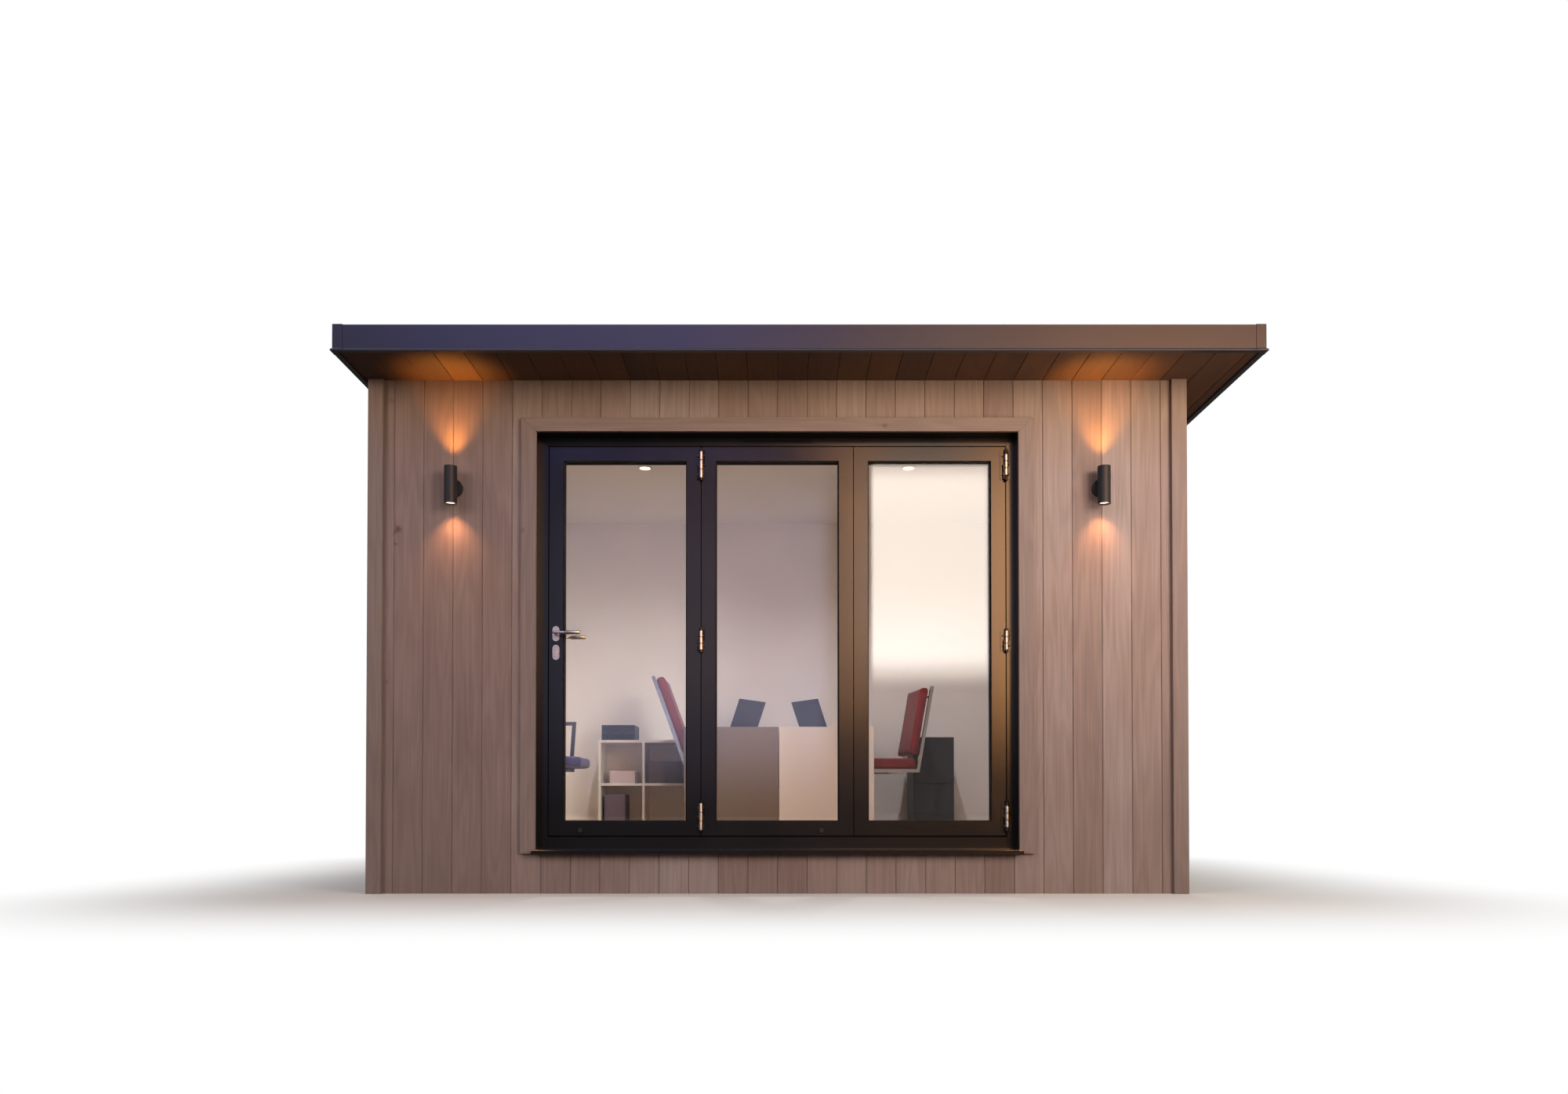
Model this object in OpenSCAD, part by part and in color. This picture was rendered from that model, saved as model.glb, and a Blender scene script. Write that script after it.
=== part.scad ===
// Garden office pod: an insulated timber-clad room with a flat roof, a deep eaves overhang,
// a wide verge on the right and a three-leaf bi-fold door across the front.
// The origin is on the ground in the middle of the plan. +X is to the right of someone facing
// the door, the door is on the -Y side and +Z is up.

/* [Room] */
// Width over the faces of the wall boards
body_w = 4020; // [3700:10:5200]
// Depth over the faces of the wall boards
body_d = 2960; // [2200:10:4200]
// Height of the wall boards that show between the door trim and the soffit
over_door_h = 192; // [120:1:500]

/* [Walls] */
// Thickness of the insulated wall panels
panel_t = 145; // [110:1:200]
// Thickness of the painted inner lining
lining_t = 15; // [9:1:25]
// Thickness of the outer boards
board_t = 20; // [14:1:26]
// Width of the corner trims and of the trims beside the door
trim_w = 75; // [50:1:110]
// Height of the trim across the door head
head_trim_h = 69; // [50:1:90]
// Thickness of the trims over the boards
trim_t = 20; // [12:1:30]

/* [Base and floor] */
// Height of the base slab above the lowest ground
slab_h = 100; // [60:5:150]
// Depth of the insulated floor
floor_h = 130; // [100:1:150]
// Thickness of the floor boards
floor_board_t = 14; // [8:1:22]
// Height of the skirting
skirting_h = 95; // [60:1:150]
// Thickness of the skirting
skirting_t = 15; // [9:1:25]

/* [Roof] */
// Roof overhang in front of the trims
eaves_front = 350; // [150:5:600]
// Roof overhang behind the trims
eaves_rear = 35; // [20:1:200]
// Roof overhang past the left corner trims
verge_left = 35; // [20:1:300]
// Roof overhang past the right corner trims
verge_right = 237; // [20:1:400]
// Height of the roof edge trim
fascia_h = 125; // [115:1:180]
// How far the edge trim hangs below the soffit
fascia_drop = 8; // [4:1:20]
// Thickness of the folded edge trim
fascia_t = 3; // [2:0.5:4]
// Outward kick of the drip at the foot of the edge trim
drip_out = 8; // [4:1:14]
// Height of the hem below the drip
hem_h = 6; // [3:1:10]
// Inward return at the foot of the edge trim
edge_return = 20; // [10:1:30]
// Length of the covers on the corners of the edge trim
corner_cap_l = 45; // [42:1:80]
// Thickness of the corner covers
corner_cap_t = 2; // [1:0.5:3]
// Thickness of the soffit boards
soffit_t = 18; // [12:1:22]
// Width of the timber kerb round the roof
kerb_w = 42; // [30:1:60]
// Height of the kerb above the roof deck at the front
kerb_h = 16; // [10:1:24]
// Drop of the roof deck from front to rear
roof_fall = 40; // [20:1:44]
// Thickness of the roof membrane
membrane_t = 3; // [2:0.5:5]

/* [Gutter] */
// Outer radius of the half-round gutter
gutter_r = 56; // [40:1:65]
// Wall of the gutter
gutter_wall = 3; // [2:0.5:5]
// Rim of the gutter below the rear edge of the roof
gutter_drop = 14; // [8:1:30]
// Outer radius of the downpipe
pipe_r = 34; // [25:1:36]
// Gap between the downpipe and the rear boards
pipe_gap = 30; // [15:1:50]
// Distance of the downpipe from the end of the rear wall
pipe_in = 190; // [170:10:1000]
// Length of the shoe at the foot of the downpipe
shoe_l = 90; // [60:5:140]
// Height of the bend above the shoe
shoe_z = 170; // [140:5:300]

/* [Bi-fold door] */
// Width over the outer frame
door_w = 2390; // [2000:10:2700]
// Height of the outer frame above the cill
door_h = 2070; // [1900:5:2110]
// Height of the door sill on the slab
sill_h = 98; // [60:1:120]
// Depth of the outer frame
frame_d = 76; // [72:1:84]
// Face width of the jambs
jamb_w = 42; // [38:1:75]
// Face height of the frame head
head_h = 42; // [38:1:90]
// Height of the threshold
threshold_h = 59; // [40:1:75]
// Slope on the outer edge of the threshold
nosing = 5; // [3:1:10]
// Distance of the roller track behind the face of the frame
track_in = 24; // [18:1:30]
// Width of the roller track
track_w = 10; // [6:1:14]
// Depth of the roller track
track_depth = 8; // [5:1:12]
// Overlap lip on the inner side of the frame
lip_w = 14; // [10:1:18]
// Thickness of the overlap lip
lip_t = 12; // [9:1:14]
// Setback of the frame face from the face of the trims
frame_setback = 100; // [60:1:105]
// Thickness of the metal liner between the frame and the wall opening
frame_fit = 5; // [3:1:12]
// Working gap round and between the leaves
leaf_gap = 4; // [3:0.5:6]
// Face width of the leaf profile
stile_w = 73; // [66:1:95]
// Thickness of the outer lip that holds the glass
leaf_lip_t = 18; // [12:1:20]
// Chamfer on the outer lip
lip_chamfer = 2.5; // [1:0.5:4]
// Slope of the glazing bead across its width
bead_slope = 5; // [3:0.5:8]
// Upright edge of the glazing bead
bead_edge = 3; // [2:0.5:4]
// Width and depth of the joint line beside the glazing bead
bead_joint = 1.5; // [1:0.5:2]
// Depth of the glazing pocket behind the face width
pocket_d = 17; // [14:1:24]
// Projection of the cill nose in front of the trims
cill_nose = 35; // [20:1:60]
// Height of the cill nose
cill_nose_h = 19; // [14:1:24]
// Height of the cill below the frame
cill_h = 24; // [20:1:30]
// Horn of the cill past the frame on each side
cill_horn = 12.5; // [5:0.5:40]
// Length of the trickle vent slot in the frame head
vent_l = 345; // [200:5:600]
// Height of the trickle vent slot
vent_h = 15; // [5:1:20]
// Height of the vent slot above the foot of the frame head
vent_up = 14; // [10:1:16]

/* [Glass and seals] */
// Thickness of each sheet of glass
glass_t = 4; // [3:1:5]
// Width of the sealed space between the sheets
cavity = 20; // [12:1:20]
// Thickness of the glazing gaskets
gasket_t = 3; // [2:0.5:4]
// Width of gasket that shows past the leaf profile
gasket_show = 3; // [2:0.5:5]
// Inset of the glazing gaskets from the edge of the glass
gasket_in = 6; // [3:0.5:9]
// Width of the spacer between the sheets
spacer_w = 8; // [6:0.5:10]
// Clearance between the edge of the glass and its pocket
glass_clear = 2; // [1:0.5:4]
// Depth of the seal groove in the edge of a leaf
seal_groove = 3; // [2:0.5:4]
// Width of the seal groove
seal_w = 12; // [8:1:14]
// Thickness of the seal behind the leaves
back_seal_t = 2; // [1:0.5:3]
// Fit of the gaskets and seals in what holds them
seal_fit = 0.1; // [0.05:0.05:0.3]

/* [Hinges] */
// Diameter of a hinge knuckle
knuckle_d = 20; // [14:1:24]
// Length of the top and bottom hinges
hinge_l = 141; // [110:1:160]
// Length of the middle hinges
mid_hinge_l = 103; // [80:1:130]
// Height of the end hinges' middle above the foot, and below the top, of a leaf
hinge_end = 95; // [94:1:250]
// Width of a hinge plate
hinge_plate_w = 26; // [20:1:40]
// Thickness of a hinge plate
hinge_plate_t = 4; // [3:0.5:6]
// Fit between a knuckle and its plate
hinge_fit = 0.2; // [0.1:0.1:0.4]
// Length of the cap on each end of a hinge
hinge_cap_l = 10; // [6:1:16]
// How much smaller the radius of a cap is than a knuckle's
hinge_cap_in = 1.5; // [0.5:0.5:3]
// Chamfer on the caps and the ends of the knuckles
knuckle_chamfer = 2.5; // [1:0.5:3]
// How far the curl of a plate reaches past the middle of its knuckle
curl = 2; // [1:0.5:4]

/* [Handle and catches] */
// Height of the lever above the floor boards
lever_up = 1056; // [900:1:1150]
// Drop from the lever to the key cylinder
cylinder_drop = 94; // [80:1:120]
// Middle of the lever and cylinder from the edge of the leaf
backset = 36; // [32:1:42]
// Width of the oval plates
plate_w = 34; // [30:1:40]
// Height of the oval plates
plate_h = 76; // [60:1:78]
// Thickness of the oval plates
plate_t = 8; // [5:1:12]
// Stand-off of the lever from the leaf
lever_off = 52; // [40:1:65]
// Diameter of the lever arm
arm_d = 14; // [10:1:18]
// Diameter of the lever grip
grip_d = 21; // [18:1:26]
// Length of the bare arm
arm_l = 55; // [35:1:70]
// Length of the grip
grip_l = 78; // [60:1:110]
// Diameter of the magnetic catches
catch_d = 24; // [18:1:30]
// Height of the magnetic catches above the leaf
catch_t = 14; // [8:1:18]
// Distance of a catch from the free edge of its leaf
catch_in = 160; // [100:5:260]
// Height of a catch above the foot of its leaf
catch_up = 26; // [20:1:45]

/* [Lights] */
// Distance of the wall lights from the middle of the front wall
lamp_x = 1605; // [1420:5:1700]
// Height of the wall lights above the lowest ground
lamp_z = 2010; // [1600:5:2200]
// Diameter of the wall light tube
lamp_d = 63; // [50:1:90]
// Height of the wall light tube
lamp_h = 185; // [140:1:240]
// Distance of the tube axis from the wall boards
lamp_off = 65; // [60:1:90]
// Diameter of the round wall plate
lamp_plate_d = 88; // [70:1:110]
// Thickness of the wall plate
lamp_plate_t = 22; // [12:1:26]
// Wall of the tube round its lenses
lamp_wall = 3; // [2:0.5:5]
// Depth of a lens below the rim of the tube
lens_in = 10; // [5:1:20]
// Thickness of the lenses
lens_t = 4; // [3:1:6]
// Distance of the ceiling lights from the middle of the room
downlight_x = 826; // [400:2:1200]
// Position of the ceiling lights towards the front
downlight_front = 60; // [0:5:600]
// Diameter of a ceiling light
downlight_d = 86; // [60:1:120]
// Height of the rim of a ceiling light
downlight_t = 6; // [4:1:12]
// Width of the rim of a ceiling light
downlight_rim = 9; // [5:1:15]

/* [Desks and laptops] */
// Length of a desk from the front of the room to the rear
desk_l = 800; // [700:10:1200]
// Depth of a desk from its user to the joint between the desks
desk_d = 638; // [500:1:660]
// Height of the desk tops above the floor boards
desk_h = 722; // [680:1:760]
// Thickness of the desk tops and end panels
desk_t = 25; // [16:1:30]
// Gap between the two desks
desk_gap = 4; // [2:1:20]
// Distance of the joint between the desks from the middle of the room
desk_joint_x = 15; // [-60:5:60]
// Gap between the desks and the skirting behind them
desk_rear_gap = 20; // [0:1:60]
// Height of the panel between the knees of the two users
modesty_h = 380; // [200:10:450]
// Length of a laptop along its hinge
laptop_l = 320; // [290:5:360]
// Depth of a laptop's base, and the height of its lid
laptop_d = 220; // [200:5:250]
// Thickness of a laptop's base
laptop_t = 16; // [12:1:24]
// Thickness of a laptop's lid
lid_t = 7; // [5:1:10]
// Lean of an open lid
lid_lean = 22; // [5:1:35]
// Turn of the laptops from the line of the desks
laptop_turn = 56; // [40:1:90]
// Distance of a laptop's hinge from the joint between the desks
laptop_x = 250; // [240:5:320]
// Distance of a laptop's hinge behind the front of its desk
laptop_in = 511; // [300:1:520]

/* [Chairs] */
// Width of a high-backed chair over its side tubes
chair_w = 440; // [400:5:520]
// Width of the square chair bars
chair_tube_d = 22; // [16:1:28]
// Height of the underside of the seat above the floor boards
seat_z = 440; // [400:5:480]
// Depth of the seat
seat_d = 450; // [400:5:500]
// Thickness of the seat cushion
seat_t = 75; // [40:1:90]
// Length of the left chair's back cushion up its slope
left_back_l = 580; // [400:10:640]
// Length of the right chair's back cushion up its slope
right_back_l = 490; // [400:10:640]
// Lean of the left chair's back
left_lean = 20; // [5:1:30]
// Lean of the right chair's back
right_lean = 10; // [5:1:30]
// Distance of the left chair's middle under its desk
left_chair_in = 220; // [0:5:220]
// Distance of the right chair's middle from its desk
right_chair_out = 62; // [40:1:200]
// Turn of the right chair towards the door
right_chair_turn = 8; // [0:1:8]
// Thickness of the back cushion
back_t = 55; // [35:1:70]
// Width of the swivel chair's seat
swivel_w = 460; // [420:5:500]
// Height of the underside of the swivel chair's seat above the floor boards
swivel_z = 425; // [380:5:480]
// Thickness of the swivel chair's seat
swivel_t = 58; // [40:1:80]
// Height of the swivel chair's arms above the underside of its seat
arm_h = 297; // [220:1:320]
// Reach of the legs of the swivel chair from its column
star_r = 290; // [260:5:320]
// Distance of its column from the skirting on the left
swivel_in = 430; // [340:5:445]
// Place of its column, back from the middle of the room
swivel_y = -200; // [-700:10:100]

/* [Shelf and drawer cabinet] */
// Clear width of a cube of the shelf
cube_w = 298; // [280:1:298]
// Clear height of a cube of the shelf
cube_h = 293; // [270:1:340]
// Depth of the shelf
shelf_d = 300; // [250:5:400]
// Thickness of the shelf boards
shelf_t = 18; // [12:1:25]
// Distance of the shelf's left side from the left wall
shelf_in = 547; // [20:1:547]
// Width of the drawer cabinet
cabinet_w = 290; // [280:5:460]
// Depth of the drawer cabinet
cabinet_d = 380; // [350:10:400]
// Height of the drawer cabinet
cabinet_h = 680; // [600:10:720]
// Distance of the cabinet's left side from the middle of the room
cabinet_x = 975; // [975:5:1200]

/* [Hidden] */
$fn = 48;

// How far a cut runs past the solid that it cuts
past = 1;

// Half sizes of the wall layers, from the outside in
face_x = body_w / 2;
face_y = body_d / 2;
pipe_x = face_x - pipe_in;
trim_x = face_x + trim_t;
trim_y = face_y + trim_t;
panel_x = face_x - board_t;
panel_y = face_y - board_t;
core_x = panel_x - panel_t;
core_y = panel_y - panel_t;
room_x = core_x - lining_t;
room_y = core_y - lining_t;

// Levels
floor_top = slab_h + floor_h;
floor_z = floor_top + floor_board_t;
cill_z = slab_h + sill_h;
frame_z = cill_z + cill_h;
door_top = frame_z + door_h;
soffit_z = door_top + head_trim_h + over_door_h;
deck_z = soffit_z + soffit_t;
ceiling_z = deck_z - lining_t;
fascia_z = soffit_z - fascia_drop;
roof_top = fascia_z + fascia_h;
kerb_top = roof_top - fascia_t;
deck_front_z = kerb_top - kerb_h;
deck_rear_z = deck_front_z - roof_fall;
rear_edge_z = deck_rear_z + membrane_t;

// Roof plan
roof_x0 = -trim_x - verge_left;
roof_x1 = trim_x + verge_right;
roof_y0 = -trim_y - eaves_front;
roof_y1 = trim_y + eaves_rear;
roof_w = roof_x1 - roof_x0;
roof_d = roof_y1 - roof_y0;
roof_cx = (roof_x0 + roof_x1) / 2;
roof_cy = (roof_y0 + roof_y1) / 2;
fascia_lip = fascia_t + kerb_w + membrane_t;

// Door set
leaf_count = 3;
half_door = door_w / 2;
opening_x = half_door + frame_fit;
opening_top = door_top + frame_fit;
reveal_t = 12;
reveal_x = opening_x - reveal_t;
frame_y = -trim_y + frame_setback;
frame_back = frame_y + frame_d;
leaf_d = frame_d - lip_t - back_seal_t;
lip_y = frame_d - lip_t;
run_x = half_door - jamb_w;
lip_x = run_x - lip_w;
head_z = door_top - head_h;
threshold_top = frame_z + threshold_h;
leaf_z = threshold_top + leaf_gap;
leaf_top = head_z - leaf_gap;
leaf_h = leaf_top - leaf_z;
leaf_w = (2 * run_x - (leaf_count + 1) * leaf_gap) / leaf_count;
leaf_pitch = leaf_w + leaf_gap;
leaf_mid_z = (leaf_z + leaf_top) / 2;
edge_chamfer = 1.5;

// Depths in a leaf, from its outer face inwards
outer_glass_y = leaf_lip_t + gasket_t;
inner_glass_y = outer_glass_y + glass_t + cavity;
bead_y = inner_glass_y + glass_t + gasket_t;
pocket_u = stile_w - pocket_d;
glass_u = pocket_u + glass_clear;
gasket_u = glass_u + gasket_in;
seal_y = (leaf_d - seal_w) / 2 - back_seal_t;

// Hinges, handle and lights
knuckle_r = knuckle_d / 2;
knuckle_off = hinge_plate_t + knuckle_r;
lever_z = floor_z + lever_up;
leaf_1_x = -run_x + leaf_gap;
lever_x = leaf_1_x + backset;
lens_r = lamp_d / 2 - lamp_wall;
lens_z = lamp_h / 2 - lens_in - lens_t;

// Gutter and downpipe
gutter_y = roof_y1 + drip_out + corner_cap_t + gutter_r;
gutter_z = rear_edge_z - gutter_drop;
pipe_y = face_y + pipe_gap + pipe_r;
outlet_h = 30;
pipe_fit = 0.3;

// Furniture
skirting_y = room_y - skirting_t;
desk_y1 = skirting_y - desk_rear_gap;
desk_y0 = desk_y1 - desk_l;
desk_top_z = floor_z + desk_h;
chair_tube_r = chair_tube_d / 2;
cushion_gap = 3;
cushion_w = chair_w - 2 * (chair_tube_d + cushion_gap);
shelf_x = -room_x + shelf_in;
shelf_y = skirting_y - shelf_d;
shelf_foot = 24;
shelf_w = 2 * cube_w + 3 * shelf_t;
shelf_h = shelf_foot + 2 * cube_h + 3 * shelf_t;

timber = "#7d6a5c";
dark_timber = "#5b4636";
anthracite = "#26262b";
white_paint = "#ece9e2";
satin = "#d8d2c8";
rubber = "#161617";
warm_light = "#ffd9a0";
white_board = "#e9e4da";

// A box from its lowest to its highest corner
module span_box(low, high) {
    translate(low) cube(high - low);
}

// Repeats a right-hand piece on the left
module both_sides() {
    children();
    mirror([1, 0, 0]) children();
}

// Extrudes an outline of [y, z] points along X, centred
module along_x(length, outline) {
    translate([-length / 2, 0, 0])
        rotate([90, 0, 90])
            linear_extrude(length) polygon(outline);
}

// A flat rectangular ring, measured inwards from the edge of a w by h leaf that starts at
// the origin, between two depths along Y
module leaf_ring(w, h, u0, u1, y0, y1) {
    translate([0, y1, 0])
        rotate([90, 0, 0])
            linear_extrude(y1 - y0)
                difference() {
                    translate([u0, u0]) square([w - 2 * u0, h - 2 * u0]);
                    translate([u1, u1]) square([w - 2 * u1, h - 2 * u1]);
                }
}

// BASE AND FLOOR

module base_slab() {
    color("#9a9892")
        span_box([-panel_x, -panel_y, 0], [panel_x, panel_y, slab_h]);
}

module floor_cassette() {
    color("#c9b48c")
        span_box([-core_x, -core_y, slab_h], [core_x, core_y, floor_top]);
}

// The boards run on through the doorway to the back of the frame
module floor_finish() {
    color("#a58a66")
        union() {
            span_box([-room_x, -room_y, floor_top], [room_x, room_y, floor_z]);
            span_box([-reveal_x, frame_back, floor_top], [reveal_x, -room_y, floor_z]);
        }
}

// WALLS

module side_wall() {
    span_box([core_x, -panel_y, slab_h], [panel_x, panel_y, deck_z]);
}

module wall_right() {
    color("#cdbb95") side_wall();
}

module wall_left() {
    color("#cdbb95") mirror([1, 0, 0]) side_wall();
}

module wall_rear() {
    color("#cdbb95")
        span_box([-core_x, core_y, slab_h], [core_x, panel_y, deck_z]);
}

module front_wall_piers() {
    color("#cdbb95")
        both_sides()
            span_box([opening_x, -panel_y, slab_h], [core_x, -core_y, deck_z]);
}

module front_wall_header() {
    color("#cdbb95")
        span_box([-opening_x, -panel_y, opening_top], [opening_x, -core_y, deck_z]);
}

// The sill steps up behind the door frame to carry the floor boards
module front_wall_sill() {
    color("#cdbb95")
        along_x(2 * opening_x, [
            [-panel_y, slab_h],
            [-core_y, slab_h],
            [-core_y, floor_top],
            [frame_back, floor_top],
            [frame_back, cill_z],
            [-panel_y, cill_z]
        ]);
}

// Wall and ceiling linings with a reveal round the doorway
module room_lining() {
    color(white_paint)
        union() {
            difference() {
                span_box([-core_x, -core_y, floor_top], [core_x, core_y, deck_z]);
                span_box([-room_x, -room_y, floor_top - past], [room_x, room_y, ceiling_z]);
                span_box([-reveal_x, -core_y - past, floor_top - past],
                         [reveal_x, -room_y + past, opening_top - reveal_t]);
            }
            difference() {
                span_box([-opening_x, frame_back, floor_top], [opening_x, -core_y, opening_top]);
                span_box([-reveal_x, frame_back - past, floor_top - past],
                         [reveal_x, -core_y + past, opening_top - reveal_t]);
            }
        }
}

module skirting() {
    color(white_paint)
        difference() {
            span_box([-room_x, -room_y, floor_z], [room_x, room_y, floor_z + skirting_h]);
            span_box([-room_x + skirting_t, -room_y + skirting_t, floor_z - past],
                     [room_x - skirting_t, room_y - skirting_t, floor_z + skirting_h + past]);
            span_box([-reveal_x, -room_y - past, floor_z - past],
                     [reveal_x, -room_y + skirting_t + past, floor_z + skirting_h + past]);
        }
}

// ROOF

// Height of the falling deck at a place along Y
function deck_at(y) = deck_front_z - roof_fall * (y - roof_y0 - fascia_t) / (roof_d - 2 * fascia_t);

// The space above the deck, inside the kerb and open to the rear
module roof_tray(inset, lift) {
    front = roof_y0 + fascia_t + kerb_w + inset;
    rear = roof_y1 - fascia_t + past;
    translate([roof_cx, 0, 0])
        along_x(roof_w - 2 * (fascia_t + kerb_w + inset), [
            [front, deck_at(front) + lift],
            [rear, deck_at(rear) + lift],
            [rear, kerb_top + past],
            [front, kerb_top + past]
        ]);
}

module roof_deck() {
    color("#bfa77c")
        difference() {
            span_box([roof_x0 + fascia_t, roof_y0 + fascia_t, deck_z],
                     [roof_x1 - fascia_t, roof_y1 - fascia_t, kerb_top]);
            roof_tray(0, 0);
        }
}

// Rubber sheet laid on the deck and dressed up the inside of the kerb
module roof_membrane() {
    color("#2b2b2d")
        difference() {
            intersection() {
                roof_tray(0, 0);
                span_box([roof_x0, roof_y0, deck_z], [roof_x1, roof_y1 - fascia_t, kerb_top]);
            }
            roof_tray(membrane_t, membrane_t);
        }
}

// Outline of the folded edge trim as [outwards, up] points: face, drip, hem, return and,
// where there is one, the lip that lies on the kerb
function edge_outline(top, lip) =
    let (
        bend = fascia_t * tan(22.5),
        foot = fascia_z + hem_h,
        lip_points = [[-fascia_t, top - fascia_t], [-lip, top - fascia_t], [-lip, top]]
    )
    concat([
        [0, top],
        [0, foot + drip_out],
        [drip_out, foot],
        [drip_out, fascia_z],
        [-edge_return, fascia_z],
        [-edge_return, fascia_z + fascia_t],
        [drip_out - fascia_t, fascia_z + fascia_t],
        [drip_out - fascia_t, foot - bend],
        [-fascia_t, foot + drip_out - bend]
    ], lip > 0 ? lip_points : [[-fascia_t, top]]);

// Outline of a cover that lies on the outside of the edge trim
function cap_outline(top, lip) =
    let (bend = corner_cap_t * tan(22.5), foot = fascia_z + hem_h, out = corner_cap_t)
    [
        [-lip, top],
        [0, top],
        [0, foot + drip_out],
        [drip_out, foot],
        [drip_out, fascia_z],
        [drip_out + out, fascia_z],
        [drip_out + out, foot + bend],
        [out, foot + drip_out + bend],
        [out, top + out],
        [-lip, top + out]
    ];

// One side of the roof edge, mitred at both ends. The sides are numbered 0 front, 1 right,
// 2 rear and 3 left, and the run keeps only the stretch from one place to another along it
module edge_run(side, outline, from, to) {
    length = side % 2 == 0 ? roof_w : roof_d;
    middle = [[roof_cx, roof_y0], [roof_x1, roof_cy], [roof_cx, roof_y1], [roof_x0, roof_cy]];
    spare = 10;
    inner = fascia_lip + spare;
    outer = drip_out + corner_cap_t + spare;
    translate([middle[side][0], middle[side][1], 0])
        rotate([0, 0, 90 * side])
            intersection() {
                along_x(length + 2 * outer, [for (p = outline) [-p[0], p[1]]]);
                translate([0, 0, fascia_z - spare])
                    linear_extrude(fascia_h + 3 * spare)
                        intersection() {
                            polygon([
                                [-length / 2 + inner, inner],
                                [length / 2 - inner, inner],
                                [length / 2 + outer, -outer],
                                [-length / 2 - outer, -outer]
                            ]);
                            translate([from, -outer - past])
                                square([to - from, inner + outer + 2 * past]);
                        }
            }
}

module full_edge(side, outline) {
    reach = max(roof_w, roof_d);
    edge_run(side, outline, -reach, reach);
}

module fascia_front() {
    color(anthracite) full_edge(0, edge_outline(roof_top, fascia_lip));
}

module fascia_sides() {
    color(anthracite) {
        full_edge(1, edge_outline(roof_top, fascia_lip));
        full_edge(3, edge_outline(roof_top, fascia_lip));
    }
}

// The rear trim stops at the membrane, so that rain runs over it into the gutter
module fascia_rear() {
    color(anthracite) full_edge(2, edge_outline(rear_edge_z, 0));
}

// Each cover folds round a corner: the end of one side and the start of the next
module fascia_corner_caps() {
    reach = drip_out + corner_cap_t + 5;
    color(anthracite)
        for (side = [0:3]) {
            next = (side + 1) % 4;
            this_half = (side % 2 == 0 ? roof_w : roof_d) / 2;
            next_half = (next % 2 == 0 ? roof_w : roof_d) / 2;
            union() {
                edge_run(side, cap_outline(roof_top, fascia_lip),
                         this_half - corner_cap_l, this_half + reach);
                edge_run(next, cap_outline(roof_top, fascia_lip),
                         -next_half - reach, -next_half + corner_cap_l);
            }
        }
}

// Boards under the front and rear overhangs, the whole width of the roof
module soffit_eaves() {
    color(dark_timber) {
        span_box([roof_x0 + fascia_t, roof_y0 + fascia_t, soffit_z],
                 [roof_x1 - fascia_t, -face_y, deck_z]);
        span_box([roof_x0 + fascia_t, face_y, soffit_z],
                 [roof_x1 - fascia_t, roof_y1 - fascia_t, deck_z]);
    }
}

// Boards under the side overhangs, between the eaves boards
module soffit_verges() {
    color(dark_timber) {
        span_box([roof_x0 + fascia_t, -face_y, soffit_z], [-face_x, face_y, deck_z]);
        span_box([face_x, -face_y, soffit_z], [roof_x1 - fascia_t, face_y, deck_z]);
    }
}

// OUTER BOARDS AND TRIMS

module cladding_beside_door() {
    color(timber)
        both_sides()
            span_box([opening_x, -face_y, 0], [face_x, -panel_y, deck_z]);
}

module cladding_over_door() {
    color(timber)
        span_box([-opening_x, -face_y, opening_top], [opening_x, -panel_y, deck_z]);
}

module cladding_under_door() {
    color(timber)
        span_box([-opening_x, -face_y, 0], [opening_x, -panel_y, cill_z]);
}

module cladding_right() {
    color(timber)
        span_box([panel_x, -panel_y, 0], [face_x, panel_y, deck_z]);
}

module cladding_left() {
    color(timber) mirror([1, 0, 0])
        span_box([panel_x, -panel_y, 0], [face_x, panel_y, deck_z]);
}

module cladding_rear() {
    color(timber)
        span_box([-face_x, panel_y, 0], [face_x, face_y, deck_z]);
}

// An L of two boards folded round each corner
module corner_trims() {
    color(timber)
        both_sides()
            for (flip = [0, 1])
                mirror([0, flip, 0])
                    linear_extrude(soffit_z)
                        polygon([
                            [trim_x, -trim_y],
                            [trim_x, -trim_y + trim_w],
                            [face_x, -trim_y + trim_w],
                            [face_x, -face_y],
                            [trim_x - trim_w, -face_y],
                            [trim_x - trim_w, -trim_y]
                        ]);
}

module front_board(outline) {
    translate([0, -face_y, 0])
        rotate([90, 0, 0])
            linear_extrude(trim_t) polygon(outline);
}

module door_trim_sides() {
    color(timber)
        both_sides()
            front_board([
                [half_door, cill_z],
                [half_door + trim_w, cill_z],
                [half_door + trim_w, door_top + head_trim_h],
                [half_door, door_top]
            ]);
}

module door_trim_head() {
    color(timber)
        front_board([
            [-half_door, door_top],
            [half_door, door_top],
            [half_door + trim_w, door_top + head_trim_h],
            [-half_door - trim_w, door_top + head_trim_h]
        ]);
}

// DOOR FRAME

// The metal liner that closes the sides and head of the opening, from the boards to the back
// of the frame
module door_reveal() {
    color("#1b1c1c")
        difference() {
            span_box([-opening_x, -face_y, cill_z], [opening_x, frame_back, opening_top]);
            span_box([-half_door, -face_y - past, cill_z - past],
                     [half_door, frame_back + past, door_top]);
        }
}

// Section of the frame head as far back as a given depth, and its overlap lip
function head_outline(back) = [
    [frame_y, door_top],
    [frame_y, head_z + edge_chamfer],
    [frame_y + edge_chamfer, head_z],
    [back, head_z],
    [back, door_top]
];

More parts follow.
